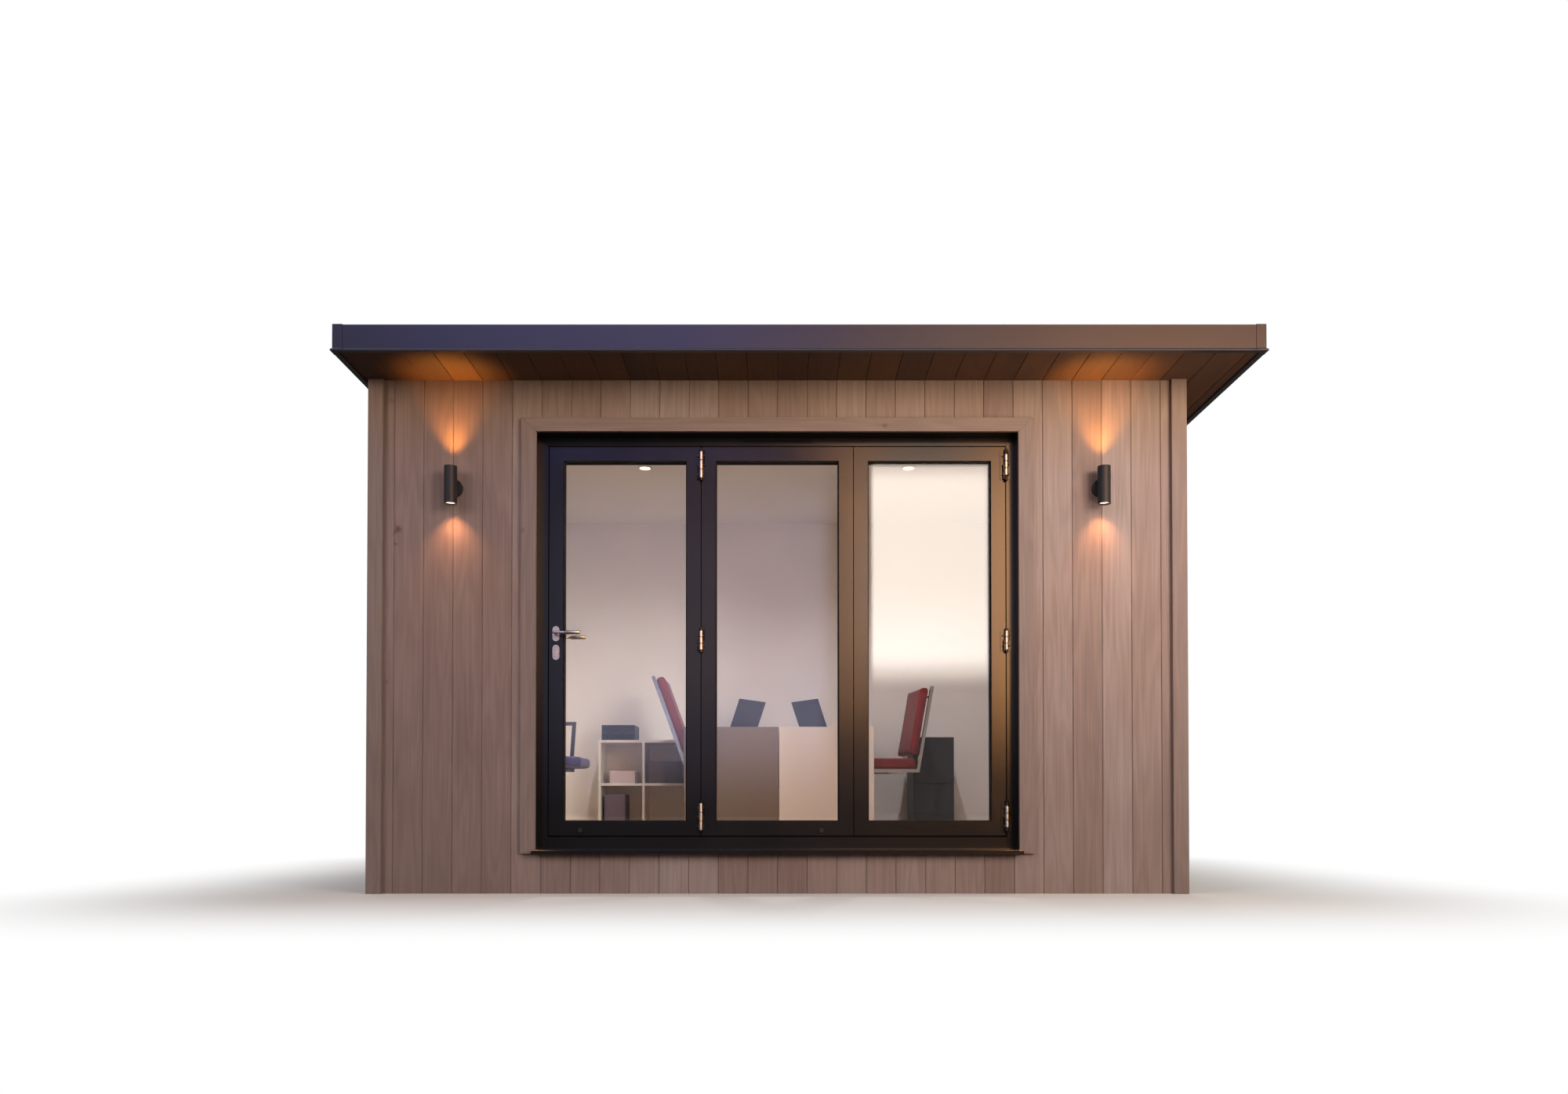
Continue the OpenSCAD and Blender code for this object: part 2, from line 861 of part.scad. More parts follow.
module door_frame_head() {
    vent_d = 10;
    color(anthracite)
        difference() {
            union() {
                along_x(2 * run_x, head_outline(frame_y + lip_y));
                along_x(2 * lip_x, head_outline(frame_back));
                span_box([-lip_x, frame_y + lip_y, head_z - lip_w], [lip_x, frame_back, door_top]);
            }
            span_box([-vent_l / 2, frame_y - past, head_z + vent_up],
                     [vent_l / 2, frame_y + vent_d, head_z + vent_up + vent_h]);
        }
}

module door_frame_jambs() {
    color(anthracite)
        both_sides()
            translate([0, 0, frame_z])
                linear_extrude(door_h)
                    polygon([
                        [half_door, frame_y],
                        [half_door, frame_back],
                        [lip_x, frame_back],
                        [lip_x, frame_y + lip_y],
                        [run_x, frame_y + lip_y],
                        [run_x, frame_y + edge_chamfer],
                        [run_x + edge_chamfer, frame_y]
                    ]);
}

// Section of the threshold as far back as a given depth: sloped outer edge and roller track
function threshold_outline(back) =
    let (track_y = frame_y + track_in, track_z = threshold_top - track_depth)
    [
        [frame_y, frame_z],
        [back, frame_z],
        [back, threshold_top],
        [track_y + track_w, threshold_top],
        [track_y + track_w, track_z],
        [track_y, track_z],
        [track_y, threshold_top],
        [frame_y + nosing, threshold_top],
        [frame_y, threshold_top - nosing]
    ];

// The threshold between the jambs, with the lip that the leaves close against
module door_threshold() {
    color(anthracite)
        union() {
            along_x(2 * run_x, threshold_outline(frame_y + lip_y));
            along_x(2 * lip_x, threshold_outline(frame_back));
            span_box([-lip_x, frame_y + lip_y, frame_z],
                     [lip_x, frame_back, threshold_top + lip_w]);
        }
}

// Sloped cill with a drip groove under its nose. The horns lie in front of the side trims
module door_cill() {
    nose_y = -trim_y - cill_nose;
    round_off = 3;
    groove_in = 8;
    groove_w = 5;
    groove_h = 4;
    outline = [
        [nose_y, cill_z],
        [nose_y, cill_z + cill_nose_h - round_off],
        [nose_y + round_off, cill_z + cill_nose_h],
        [frame_y, cill_z + cill_h],
        [frame_back, cill_z + cill_h],
        [frame_back, cill_z],
        [nose_y + groove_in + groove_w, cill_z],
        [nose_y + groove_in + groove_w, cill_z + groove_h],
        [nose_y + groove_in, cill_z + groove_h],
        [nose_y + groove_in, cill_z]
    ];
    horn_w = door_w + 2 * cill_horn;
    color(anthracite)
        union() {
            along_x(door_w, outline);
            intersection() {
                along_x(horn_w, outline);
                span_box([-horn_w, nose_y - past, cill_z - past],
                         [horn_w, -trim_y, cill_z + cill_h + past]);
            }
        }
}

// DOOR LEAVES

// Section of the leaf profile as [depth, across] points: outer lip, glazing pocket, sloped
// bead with its joint line, and the seal groove in the outer edge
leaf_section = [
    [0, 0],
    [0, stile_w - lip_chamfer],
    [lip_chamfer, stile_w],
    [leaf_lip_t, stile_w],
    [leaf_lip_t, pocket_u],
    [bead_y, pocket_u],
    [bead_y, stile_w],
    [bead_y + bead_edge, stile_w],
    [leaf_d, stile_w - bead_slope],
    [leaf_d, pocket_u - bead_joint],
    [leaf_d - bead_joint, pocket_u - bead_joint],
    [leaf_d - bead_joint, pocket_u - 2 * bead_joint],
    [leaf_d, pocket_u - 2 * bead_joint],
    [leaf_d, 0],
    [seal_y + seal_w, 0],
    [seal_y + seal_w, seal_groove],
    [seal_y, seal_groove],
    [seal_y, 0]
];

// One mitred bar of a leaf along X, its outer edge at the given half height below the middle
module mitred_bar(length, half) {
    translate([0, 0, -half])
        intersection() {
            along_x(length, leaf_section);
            translate([0, leaf_d + past, 0])
                rotate([90, 0, 0])
                    linear_extrude(leaf_d + 2 * past)
                        polygon([
                            [-length / 2, 0],
                            [length / 2, 0],
                            [length / 2 - stile_w - past, stile_w + past],
                            [-length / 2 + stile_w + past, stile_w + past]
                        ]);
        }
}

// The middle of a leaf, counted from the left
function leaf_middle(i) = leaf_1_x + leaf_w / 2 + i * leaf_pitch;

module door_leaf(i) {
    color(anthracite)
        translate([leaf_middle(i), frame_y, leaf_mid_z])
            union()
                for (turn = [0:3]) {
                    across = turn % 2 == 0;
                    rotate([0, 90 * turn, 0])
                        mitred_bar(across ? leaf_w : leaf_h, (across ? leaf_h : leaf_w) / 2);
                }
}

module door_leaf_1() {
    door_leaf(0);
}

module door_leaf_2() {
    door_leaf(1);
}

module door_leaf_3() {
    door_leaf(2);
}

// Moves a piece to the lower left corner of the outer face of a leaf
module at_leaf(i) {
    translate([leaf_middle(i) - leaf_w / 2, frame_y, leaf_z]) children();
}

// Two sheets to each leaf
module door_glass() {
    color("#9fb4b4", 0.4)
        for (i = [0:leaf_count - 1], y = [outer_glass_y, inner_glass_y])
            at_leaf(i)
                span_box([glass_u, y, glass_u], [leaf_w - glass_u, y + glass_t, leaf_h - glass_u]);
}

// Glazing gaskets, edge spacers, seals between the leaves and the seal behind them
module door_seals() {
    visible = stile_w + gasket_show;
    seen = stile_w + seal_fit;
    spacer_u = glass_u + glass_clear;
    back_seal_u = 1;
    back_seal_w = lip_w - leaf_gap - 2 * back_seal_u;
    color(rubber) {
        for (i = [0:leaf_count - 1])
            at_leaf(i) {
                union() {
                    leaf_ring(leaf_w, leaf_h, gasket_u, visible,
                              leaf_lip_t + seal_fit, outer_glass_y - seal_fit);
                    leaf_ring(leaf_w, leaf_h, seen, visible,
                              leaf_lip_t - gasket_t, outer_glass_y - seal_fit);
                }
                union() {
                    leaf_ring(leaf_w, leaf_h, gasket_u, visible,
                              bead_y - gasket_t + seal_fit, bead_y - seal_fit);
                    leaf_ring(leaf_w, leaf_h, seen, visible,
                              bead_y - gasket_t + seal_fit, bead_y + bead_edge - seal_fit);
                }
                leaf_ring(leaf_w, leaf_h, spacer_u, spacer_u + spacer_w,
                          outer_glass_y + glass_t + seal_fit, inner_glass_y - seal_fit);
            }
        for (i = [1:leaf_count - 1])
            at_leaf(i)
                span_box([-leaf_gap - seal_groove + seal_fit, seal_y + seal_fit, 0],
                         [seal_groove - seal_fit, seal_y + seal_w - seal_fit, leaf_h]);
        translate([-run_x + leaf_gap, frame_y, leaf_z])
            leaf_ring(2 * (run_x - leaf_gap), leaf_h, back_seal_u, back_seal_u + back_seal_w,
                      leaf_d + seal_fit, lip_y - seal_fit);
    }
}

// HINGES

// Heights and lengths of the three hinges on a joint
hinge_rows = [
    [leaf_z + hinge_end, hinge_l],
    [leaf_mid_z, mid_hinge_l],
    [leaf_top - hinge_end, hinge_l]
];

// Joints with hinges: the middle of the gap, and 1 outside or -1 inside
hinge_joints = [
    [leaf_middle(1) - leaf_pitch / 2, 1],
    [leaf_middle(2) - leaf_pitch / 2, -1],
    [run_x - leaf_gap / 2, 1]
];

// Places a hinge that is drawn with its face at Y = 0 and its knuckle on the -Y side
module at_hinge(joint, row) {
    outside = joint[1] == 1;
    translate([joint[0], outside ? frame_y : frame_y + leaf_d, row[0]])
        rotate([0, 0, outside ? 0 : 180])
            children();
}

// A plate on one side of the joint, with the curl that holds half of the knuckle
module hinge_plate(length, curl_low) {
    curl_z = curl_low ? -length / 2 : 0;
    translate([leaf_gap / 2, -hinge_plate_t, -length / 2])
        cube([hinge_plate_w, hinge_plate_t, length]);
    translate([0, 0, curl_z])
        linear_extrude(length / 2)
            difference() {
                polygon([
                    [leaf_gap / 2, -hinge_plate_t],
                    [knuckle_d - curl, -hinge_plate_t],
                    [knuckle_r + hinge_fit + curl, -knuckle_off - curl],
                    [knuckle_r - curl, -knuckle_off - curl]
                ]);
                translate([0, -knuckle_off]) circle(r = knuckle_r + hinge_fit);
            }
}

module hinge_cap() {
    r = knuckle_r - hinge_cap_in;
    c = knuckle_chamfer;
    rotate_extrude()
        polygon([[0, 0], [r, 0], [r, hinge_cap_l - c], [r - c, hinge_cap_l], [0, hinge_cap_l]]);
}

module hinge_plates() {
    color(anthracite)
        for (joint = hinge_joints, row = hinge_rows)
            at_hinge(joint, row) {
                union() hinge_plate(row[1], false);
                mirror([1, 0, 0]) union() hinge_plate(row[1], true);
                for (end = [0, 1])
                    mirror([0, 0, end])
                        translate([0, -knuckle_off, row[1] / 2]) hinge_cap();
            }
}

// One turned bar a hinge, with chamfered ends and the joint line of its two knuckles
module hinge_knuckles() {
    c = knuckle_chamfer;
    color(satin)
        for (joint = hinge_joints, row = hinge_rows)
            at_hinge(joint, row)
                translate([0, -knuckle_off, 0])
                    rotate_extrude()
                        polygon([
                            [0, -row[1] / 2],
                            [knuckle_r - c, -row[1] / 2],
                            [knuckle_r, -row[1] / 2 + c],
                            [knuckle_r, -c],
                            [knuckle_r - c, 0],
                            [knuckle_r, c],
                            [knuckle_r, row[1] / 2 - c],
                            [knuckle_r - c, row[1] / 2],
                            [0, row[1] / 2]
                        ]);
}

// HANDLES AND CATCHES

// An upright oval plate on the -Y side of the face
module oval_plate() {
    straight = plate_h - plate_w;
    rotate([90, 0, 0])
        linear_extrude(plate_t)
            union() {
                translate([-plate_w / 2, -straight / 2]) square([plate_w, straight]);
                for (end = [-1, 1])
                    translate([0, end * straight / 2]) circle(d = plate_w);
            }
}

// Oval rose, neck, arm and turned grip, drawn with its face at Y = 0
module lever_set() {
    edge = 3;
    collar_t = 1.5;
    collar_h = 5;
    r = grip_d / 2;
    union() {
        oval_plate();
        rotate([90, 0, 0]) cylinder(d = arm_d + 2 * collar_t, h = plate_t + collar_h);
        rotate([90, 0, 0]) cylinder(d = arm_d, h = lever_off);
        translate([0, -lever_off, 0]) {
            sphere(d = arm_d);
            rotate([0, 90, 0]) cylinder(d = arm_d, h = arm_l);
            translate([arm_l - edge, 0, 0])
                rotate([0, 90, 0])
                    rotate_extrude()
                        polygon([
                            [0, 0],
                            [r - edge, 0],
                            [r, edge],
                            [r, grip_l - edge],
                            [r - edge, grip_l],
                            [0, grip_l]
                        ]);
        }
    }
}

// Oval plate with the face of a key cylinder
module cylinder_set() {
    plug_d = 17;
    tail_w = 10;
    tail_h = 16;
    stand = 3;
    plug_up = 6;
    slot = [1.6, 9];
    union() {
        oval_plate();
        translate([0, 0, plug_up])
            rotate([90, 0, 0])
                linear_extrude(plate_t + stand)
                    difference() {
                        union() {
                            circle(d = plug_d);
                            translate([-tail_w / 2, -plug_d / 2 - tail_h + tail_w / 2])
                                square([tail_w, tail_h]);
                        }
                        square(slot, center = true);
                    }
    }
}

// A round catch with a shallow dished face
module door_catch() {
    r = catch_d / 2;
    dish_r = r / 2;
    edge = 2;
    rotate([90, 0, 0])
        rotate_extrude()
            polygon([
                [0, 0],
                [r, 0],
                [r, catch_t - edge],
                [r - edge, catch_t],
                [dish_r, catch_t],
                [dish_r - edge / 2, catch_t - edge],
                [0, catch_t - edge]
            ]);
}

module door_furniture() {
    catch_z = leaf_z + catch_up;
    color(satin) {
        translate([lever_x, frame_y, lever_z]) lever_set();
        translate([lever_x, frame_y, lever_z - cylinder_drop]) cylinder_set();
        translate([lever_x, frame_y + leaf_d, lever_z]) mirror([0, 1, 0]) lever_set();
        translate([lever_x, frame_y + leaf_d, lever_z - cylinder_drop])
            mirror([0, 1, 0]) cylinder_set();
        translate([leaf_1_x + catch_in, frame_y, catch_z]) door_catch();
        translate([leaf_1_x + 2 * leaf_w + leaf_gap - catch_in, frame_y, catch_z]) door_catch();
    }
}

// LIGHTS

// Up-and-down light: wall plate, arm and a tube that is open round each lens
module wall_lights() {
    rim = lamp_h / 2;
    color(anthracite)
        both_sides()
            translate([lamp_x, -face_y, lamp_z])
                union() {
                    rotate([90, 0, 0]) cylinder(d = lamp_plate_d, h = lamp_plate_t);
                    rotate([90, 0, 0]) cylinder(d = lamp_plate_d / 2, h = lamp_off);
                    translate([0, -lamp_off, 0])
                        rotate_extrude()
                            polygon([
                                [0, -lens_z],
                                [lens_r, -lens_z],
                                [lens_r, -rim],
                                [lamp_d / 2, -rim],
                                [lamp_d / 2, rim],
                                [lens_r, rim],
                                [lens_r, lens_z],
                                [0, lens_z]
                            ]);
                }
}

module light_lenses() {
    color(warm_light) {
        both_sides()
            translate([lamp_x, -face_y - lamp_off, lamp_z])
                for (end = [0, 1])
                    mirror([0, 0, end])
                        translate([0, 0, lens_z]) cylinder(r = lens_r, h = lens_t);
        both_sides()
            translate([downlight_x, -downlight_front, ceiling_z - lens_t])
                cylinder(d = downlight_d - 2 * downlight_rim, h = lens_t);
    }
}

module downlights() {
    outer = downlight_d / 2;
    inner = outer - downlight_rim;
    edge = 3;
    color(white_paint)
        both_sides()
            translate([downlight_x, -downlight_front, ceiling_z - downlight_t])
                rotate_extrude()
                    polygon([
                        [inner, 0],
                        [outer - edge, 0],
                        [outer, edge],
                        [outer, downlight_t],
                        [inner, downlight_t]
                    ]);
}

// GUTTER AND DOWNPIPE

// Half-round outline between two radii, open at the top. An inner radius of 0 gives a half disc
module half_ring(outer, inner) {
    difference() {
        circle(r = outer, $fn = 64);
        if (inner > 0) circle(r = inner, $fn = 64);
        translate([-outer - past, 0]) square([2 * (outer + past), outer + past]);
    }
}

module gutter_stretch(length, outer, inner) {
    translate([-length / 2, 0, 0])
        rotate([90, 0, 90])
            linear_extrude(length) half_ring(outer, inner);
}

// Trough, end stops, outlet and brackets that screw to the rear edge trim
module rain_gutter() {
    strap_w = 25;
    strap_t = 3;
    strap_inset = 150;
    brackets = 5;
    inner_r = gutter_r - gutter_wall;
    trough_l = roof_w - 2 * gutter_wall;
    outlet_t = 5;
    outlet_z = gutter_z - gutter_r - outlet_h;
    spacing = (roof_w - 2 * strap_inset) / (brackets - 1);
    color(anthracite)
        difference() {
            union() {
                translate([roof_cx, gutter_y, gutter_z]) {
                    gutter_stretch(roof_w, gutter_r, 0);
                    for (i = [0:brackets - 1])
                        translate([(i - (brackets - 1) / 2) * spacing, 0, 0]) {
                            gutter_stretch(strap_w, gutter_r + strap_t, 0);
                            span_box([-strap_w / 2, roof_y1 - gutter_y, -strap_w],
                                     [strap_w / 2, -inner_r, 0]);
                        }
                }
                translate([-pipe_x, gutter_y, outlet_z])
                    cylinder(r = pipe_r + outlet_t, h = outlet_h + gutter_wall);
            }
            translate([-pipe_x, gutter_y, outlet_z - past])
                cylinder(r = pipe_r + pipe_fit, h = outlet_h + gutter_r);
            translate([roof_cx - trough_l / 2, gutter_y, gutter_z])
                rotate([90, 0, 90])
                    linear_extrude(trough_l) circle(r = inner_r, $fn = 64);
        }
}

// Spigot in the outlet, an offset back towards the wall, the long drop, its clips and a shoe.
// A rounded elbow socket covers each change of direction
module downpipe() {
    swan = 45;
    clip_h = 30;
    clip_t = 3;
    clip_end = 120;
    elbow_r = pipe_r + clip_t;
    lean = gutter_y - pipe_y;
    knee = gutter_z - gutter_r - outlet_h - elbow_r;
    low = knee - lean / tan(swan);
    color(anthracite)
        translate([-pipe_x, 0, 0])
            union() {
                translate([0, gutter_y, knee]) {
                    cylinder(r = pipe_r, h = elbow_r + outlet_h / 2);
                    sphere(r = elbow_r);
                    rotate([180 - swan, 0, 0]) cylinder(r = pipe_r, h = lean / sin(swan));
                }
                translate([0, pipe_y, low]) sphere(r = elbow_r);
                translate([0, pipe_y, shoe_z]) {
                    cylinder(r = pipe_r, h = low - shoe_z);
                    sphere(r = elbow_r);
                    rotate([180 + swan, 0, 0]) cylinder(r = pipe_r, h = shoe_l);
                }
                for (z = [shoe_z + clip_end, (shoe_z + low) / 2, low - clip_end])
                    translate([0, 0, z]) {
                        translate([0, pipe_y, 0]) cylinder(r = pipe_r + clip_t, h = clip_h);
                        span_box([-clip_h / 2, face_y, 0], [clip_h / 2, pipe_y, clip_h]);
                    }
            }
}

// DESKS AND LAPTOPS

// A right-hand desk: top, two end panels and the panel along the middle of the room
module desk() {
    x0 = desk_gap / 2;
    x1 = x0 + desk_d;
    under = desk_top_z - desk_t;
    union() {
        span_box([x0, desk_y0, under], [x1, desk_y1, desk_top_z]);
        for (y = [desk_y0, desk_y1 - desk_t])
            span_box([x0, y, floor_z], [x1, y + desk_t, under]);
        span_box([x0, desk_y0 + desk_t, under - modesty_h], [x0 + desk_t, desk_y1 - desk_t, under]);
    }
}

module desks() {
    color(white_board) translate([desk_joint_x, 0, 0]) both_sides() desk();
}

// Drawn with the middle of its hinge at the origin and its user on the +Y side
module laptop() {
    lid_gap = 1;
    hinge_end = 40;
    hinge_r = lid_t / 2 + lid_gap;
    hinge_w = laptop_l - 2 * hinge_end;
    union() {
        span_box([-laptop_l / 2, 0, 0], [laptop_l / 2, laptop_d, laptop_t]);
        translate([0, 0, laptop_t + lid_gap])
            rotate([lid_lean, 0, 0])
                span_box([-laptop_l / 2, 0, 0], [laptop_l / 2, lid_t, laptop_d]);
        translate([-hinge_w / 2, hinge_r, laptop_t])
            rotate([0, 90, 0]) cylinder(r = hinge_r, h = hinge_w);
    }
}

module laptops() {
    color("#23262c")
        translate([desk_joint_x, desk_y0 + laptop_in, desk_top_z])
            both_sides()
                translate([laptop_x, 0, 0]) rotate([0, 0, -laptop_turn]) laptop();
}

// CHAIRS

// Points at one side of a path, as far off as half the width of its bar, mitred at the bends
function beside_path(points, off) = [
    for (i = [0:len(points) - 1])
        let (
            last = len(points) - 1,
            into = points[max(i, 1)] - points[max(i, 1) - 1],
            out = points[min(i, last - 1) + 1] - points[min(i, last - 1)],
            a = [-into[1], into[0]] / norm(into),
            b = [-out[1], out[0]] / norm(out)
        )
        points[i] + off * (a + b) / (1 + a * b)
];

// A bent bar of square section through a list of [x, z] points, centred on Y
module bent_bar(points, width) {
    left = beside_path(points, width / 2);
    right = beside_path(points, -width / 2);
    rotate([90, 0, 0])
        linear_extrude(width, center = true)
            polygon(concat(left, [for (i = [len(right) - 1:-1:0]) right[i]]));
}

// A round bar along Y, centred
module cross_bar(length, r) {
    rotate([90, 0, 0]) cylinder(r = r, h = length, center = true);
}

// Each high-backed chair: its place, the way it faces, the lean of its back and the back's length
desk_edge = desk_gap / 2 + desk_d;
chair_in = 280;
chair_y = desk_y0 + chair_in;
chairs = [
    [desk_joint_x - desk_edge + left_chair_in, 0, left_lean, left_back_l],
    [desk_joint_x + desk_edge + right_chair_out, 180 + right_chair_turn, right_lean, right_back_l]
];

module at_chair(chair) {
    translate([chair[0], chair_y, floor_z]) rotate([0, 0, chair[1]]) children();
}

// Moves a piece to the foot of a chair's back, with +Z up the slope and +X to the front
module at_back(lean) {
    translate([-seat_d / 2, 0, seat_z + seat_t + chair_tube_r]) rotate([0, -lean, 0]) children();
}

// Two bent side bars and the bars that join them under the seat, behind the back and on
// the floor. A chair faces +X
module chair_frame(lean, back_l) {
    r = chair_tube_r;
    bar_r = 8;
    side_y = chair_w / 2 - r;
    bar_l = 2 * side_y;
    rail_z = seat_z - r;
    front_x = seat_d / 2 - r;
    foot_in = 40;
    foot_x = seat_d / 2 - foot_in;
    back_end = 70;
    rise = seat_t + chair_tube_d;
    low = [-seat_d / 2 + rise * tan(lean) - r / cos(lean), rail_z];
    top = low + (rise + back_l * cos(lean)) * [-tan(lean), 1];
    union() {
        for (side = [-1, 1])
            translate([0, side * side_y, 0])
                bent_bar([top, low, [front_x, rail_z], [foot_x, r], [-foot_x, r]], chair_tube_d);
        for (x = [-seat_d / 4, seat_d / 4])
            translate([x, 0, seat_z - bar_r]) cross_bar(bar_l, bar_r);
        translate([-seat_d / 4, 0, r]) cross_bar(bar_l, bar_r);
        at_back(lean)
            for (z = [back_end, back_l - back_end])
                translate([-bar_r, 0, z]) cross_bar(bar_l, bar_r);
    }
}

module chair_frames() {
    color(satin)
        for (chair = chairs)
            at_chair(chair) chair_frame(chair[2], chair[3]);
}

module chair_cushions() {
    color("#8e2f31")
        for (chair = chairs)
            at_chair(chair) {
                span_box([-seat_d / 2, -cushion_w / 2, seat_z],
                         [seat_d / 2, cushion_w / 2, seat_z + seat_t]);
                at_back(chair[2])
                    span_box([0, -cushion_w / 2, 0], [back_t, cushion_w / 2, chair[3]]);
            }
}

// Where the swivel chair stands, facing the desks, and the back face of its back cushion
swivel_back_gap = 10;
swivel_back_x = -swivel_w / 2 - swivel_back_gap;
module at_swivel_chair() {
    translate([-room_x + skirting_t + swivel_in, swivel_y, floor_z]) children();
}

// Star of five legs on castors, gas column, seat plate, looped arms and the bar of the back
module swivel_chair_base() {
    legs = 5;
    leg_t = 32;
    hub_r = 30;
    hub_h = 70;
    column_r = 14;
    wheel_r = 25;
    wheel_w = 20;
    wheel_gap = 4;
    axle_r = 5;
    stem_r = 8;
    leg_z = 2 * wheel_r + wheel_gap;
    plate = [260, 180, 20];
    plate_z = swivel_z - plate[2];
    arm_t = 22;
    arm_x0 = -140;
    arm_x1 = 100;
    arm_rake = 20;
    arm_gap = 4;
    arm_y = swivel_w / 2 + arm_gap + arm_t / 2;
    arm_top = swivel_z + arm_h - arm_t / 2;
    arm_foot = plate_z + plate[2] / 2;
    bar_w = 40;
    bar_t = 8;
    bar_h = 330;
    color("#2f2f33")
        at_swivel_chair()
            union() {
                for (i = [0:legs - 1])
                    rotate([0, 0, 360 / legs * i]) {
                        span_box([0, -leg_t / 2, leg_z], [star_r, leg_t / 2, leg_z + leg_t]);
                        translate([star_r - wheel_r, 0, wheel_r]) {
                            cylinder(r = stem_r, h = leg_z);
                            for (side = [-1, 1])
                                translate([0, side * (wheel_w + wheel_gap) / 2, 0])
                                    cross_bar(wheel_w, wheel_r);
                            cross_bar(wheel_w, axle_r);
                        }
                    }
                translate([0, 0, leg_z - axle_r]) cylinder(r = hub_r, h = hub_h);
                translate([0, 0, leg_z]) cylinder(r = column_r, h = plate_z - leg_z);
                translate([-plate[0] / 2, -plate[1] / 2, plate_z]) cube(plate);
                for (side = [-1, 1])
                    translate([0, side * arm_y, 0]) {
                        bent_bar([[arm_x0, arm_foot], [arm_x0, arm_top],
                                  [arm_x1, arm_top], [arm_x1 - arm_rake, arm_foot]], arm_t);
                        span_box([arm_x0 - arm_t / 2, -arm_t / 2, plate_z],
                                 [arm_x1, arm_t / 2, swivel_z]);
                    }
                span_box([-bar_w / 2, -arm_y, plate_z], [bar_w / 2, arm_y, swivel_z]);
                span_box([swivel_back_x - bar_t, -bar_w / 2, plate_z], [0, bar_w / 2, plate_z + bar_t]);
                span_box([swivel_back_x - bar_t, -bar_w / 2, plate_z],
                         [swivel_back_x, bar_w / 2, swivel_z + bar_h]);
            }
}

module swivel_chair_pads() {
    back_in = 30;
    back_pad = [45, swivel_w - 2 * back_in, 260];
    back_foot = 130;
    corner_share = 0.62;
    color("#2f3f78")
        at_swivel_chair() {
            translate([0, 0, swivel_z])
                linear_extrude(swivel_t)
                    intersection() {
                        square(swivel_w, center = true);
                        circle(r = corner_share * swivel_w);
                    }
            translate([swivel_back_x, -back_pad[1] / 2, swivel_z + back_foot]) cube(back_pad);
        }
}

// SHELF AND CABINET

// Lowest corner of a cube of the shelf, by column from the left and row from the floor
function cube_at(column, row) = [
    shelf_x + shelf_t + column * (cube_w + shelf_t),
    shelf_y,
    floor_z + shelf_foot + shelf_t + row * (cube_h + shelf_t)
];

module cube_shelf() {
    back_board = 4;
    depth = shelf_d - back_board;
    color(white_board)
        difference() {
            union() {
                span_box([shelf_x, shelf_y, floor_z + shelf_foot],
                         [shelf_x + shelf_w, skirting_y, floor_z + shelf_h]);
                span_box([shelf_x + shelf_t, shelf_y + shelf_t, floor_z],
                         [shelf_x + shelf_w - shelf_t, skirting_y - shelf_t, floor_z + shelf_foot]);
            }
            for (column = [0, 1], row = [0, 1])
                translate(cube_at(column, row) - [0, past, 0])
                    cube([cube_w, depth + past, cube_h]);
        }
}

// A letter tray on the shelf and three boxes in its cubes. Each box has its column, its row,
// its place in the cube and its size
module shelf_boxes() {
    tray = [240, 250, 110];
    wall = 4;
    gap = 20;
    slot_h = (tray[2] - 3 * wall) / 2;
    boxes = [
        [0, 1, [60, 30, 0], [180, 220, 90]],
        [0, 0, [20, 30, 0], [150, 240, 230]],
        [1, 1, [20, 30, 0], [250, 240, 160]]
    ];
    color("#4a4a4e") {
        translate([shelf_x + gap, shelf_y + gap, floor_z + shelf_h])
            difference() {
                cube(tray);
                for (z = [wall, slot_h + 2 * wall])
                    translate([wall, -past, z])
                        cube([tray[0] - 2 * wall, tray[1] - wall + past, slot_h]);
            }
        for (box = boxes)
            translate(cube_at(box[0], box[1]) + box[2]) cube(box[3]);
    }
}

// Steel carcass with two drawer fronts, each with a pull along its top edge
module drawer_cabinet() {
    drawers = 2;
    front_t = 18;
    gap = 4;
    foot = 20;
    pull = [120, 10, 24];
    drawer_h = (cabinet_h - foot - (drawers + 1) * gap) / drawers;
    y1 = skirting_y - desk_rear_gap;
    y0 = y1 - cabinet_d;
    color("#38363a")
        union() {
            span_box([cabinet_x, y0 + front_t, floor_z],
                     [cabinet_x + cabinet_w, y1, floor_z + cabinet_h]);
            for (i = [0:drawers - 1])
                translate([cabinet_x, y0, floor_z + foot + gap + i * (drawer_h + gap)])
                    difference() {
                        span_box([gap, 0, 0], [cabinet_w - gap, front_t, drawer_h]);
                        translate([(cabinet_w - pull[0]) / 2, -past, drawer_h - pull[2]])
                            cube(pull + [0, past, past]);
                    }
        }
}

base_slab();
floor_cassette();
floor_finish();
wall_left();
wall_right();
wall_rear();
front_wall_piers();
front_wall_header();
front_wall_sill();
room_lining();
skirting();
roof_deck();
roof_membrane();
fascia_front();
fascia_sides();
fascia_rear();
fascia_corner_caps();
soffit_eaves();
soffit_verges();
cladding_beside_door();
cladding_over_door();
cladding_under_door();
cladding_left();
cladding_right();
cladding_rear();
corner_trims();
door_trim_sides();
door_trim_head();
door_reveal();
door_frame_head();
door_frame_jambs();
door_threshold();
door_cill();
door_leaf_1();
door_leaf_2();
door_leaf_3();
door_glass();
door_seals();
hinge_plates();
hinge_knuckles();
door_furniture();
wall_lights();
light_lenses();
downlights();
rain_gutter();
downpipe();
desks();
laptops();
chair_frames();
chair_cushions();
swivel_chair_base();
swivel_chair_pads();
cube_shelf();
shelf_boxes();
drawer_cabinet();
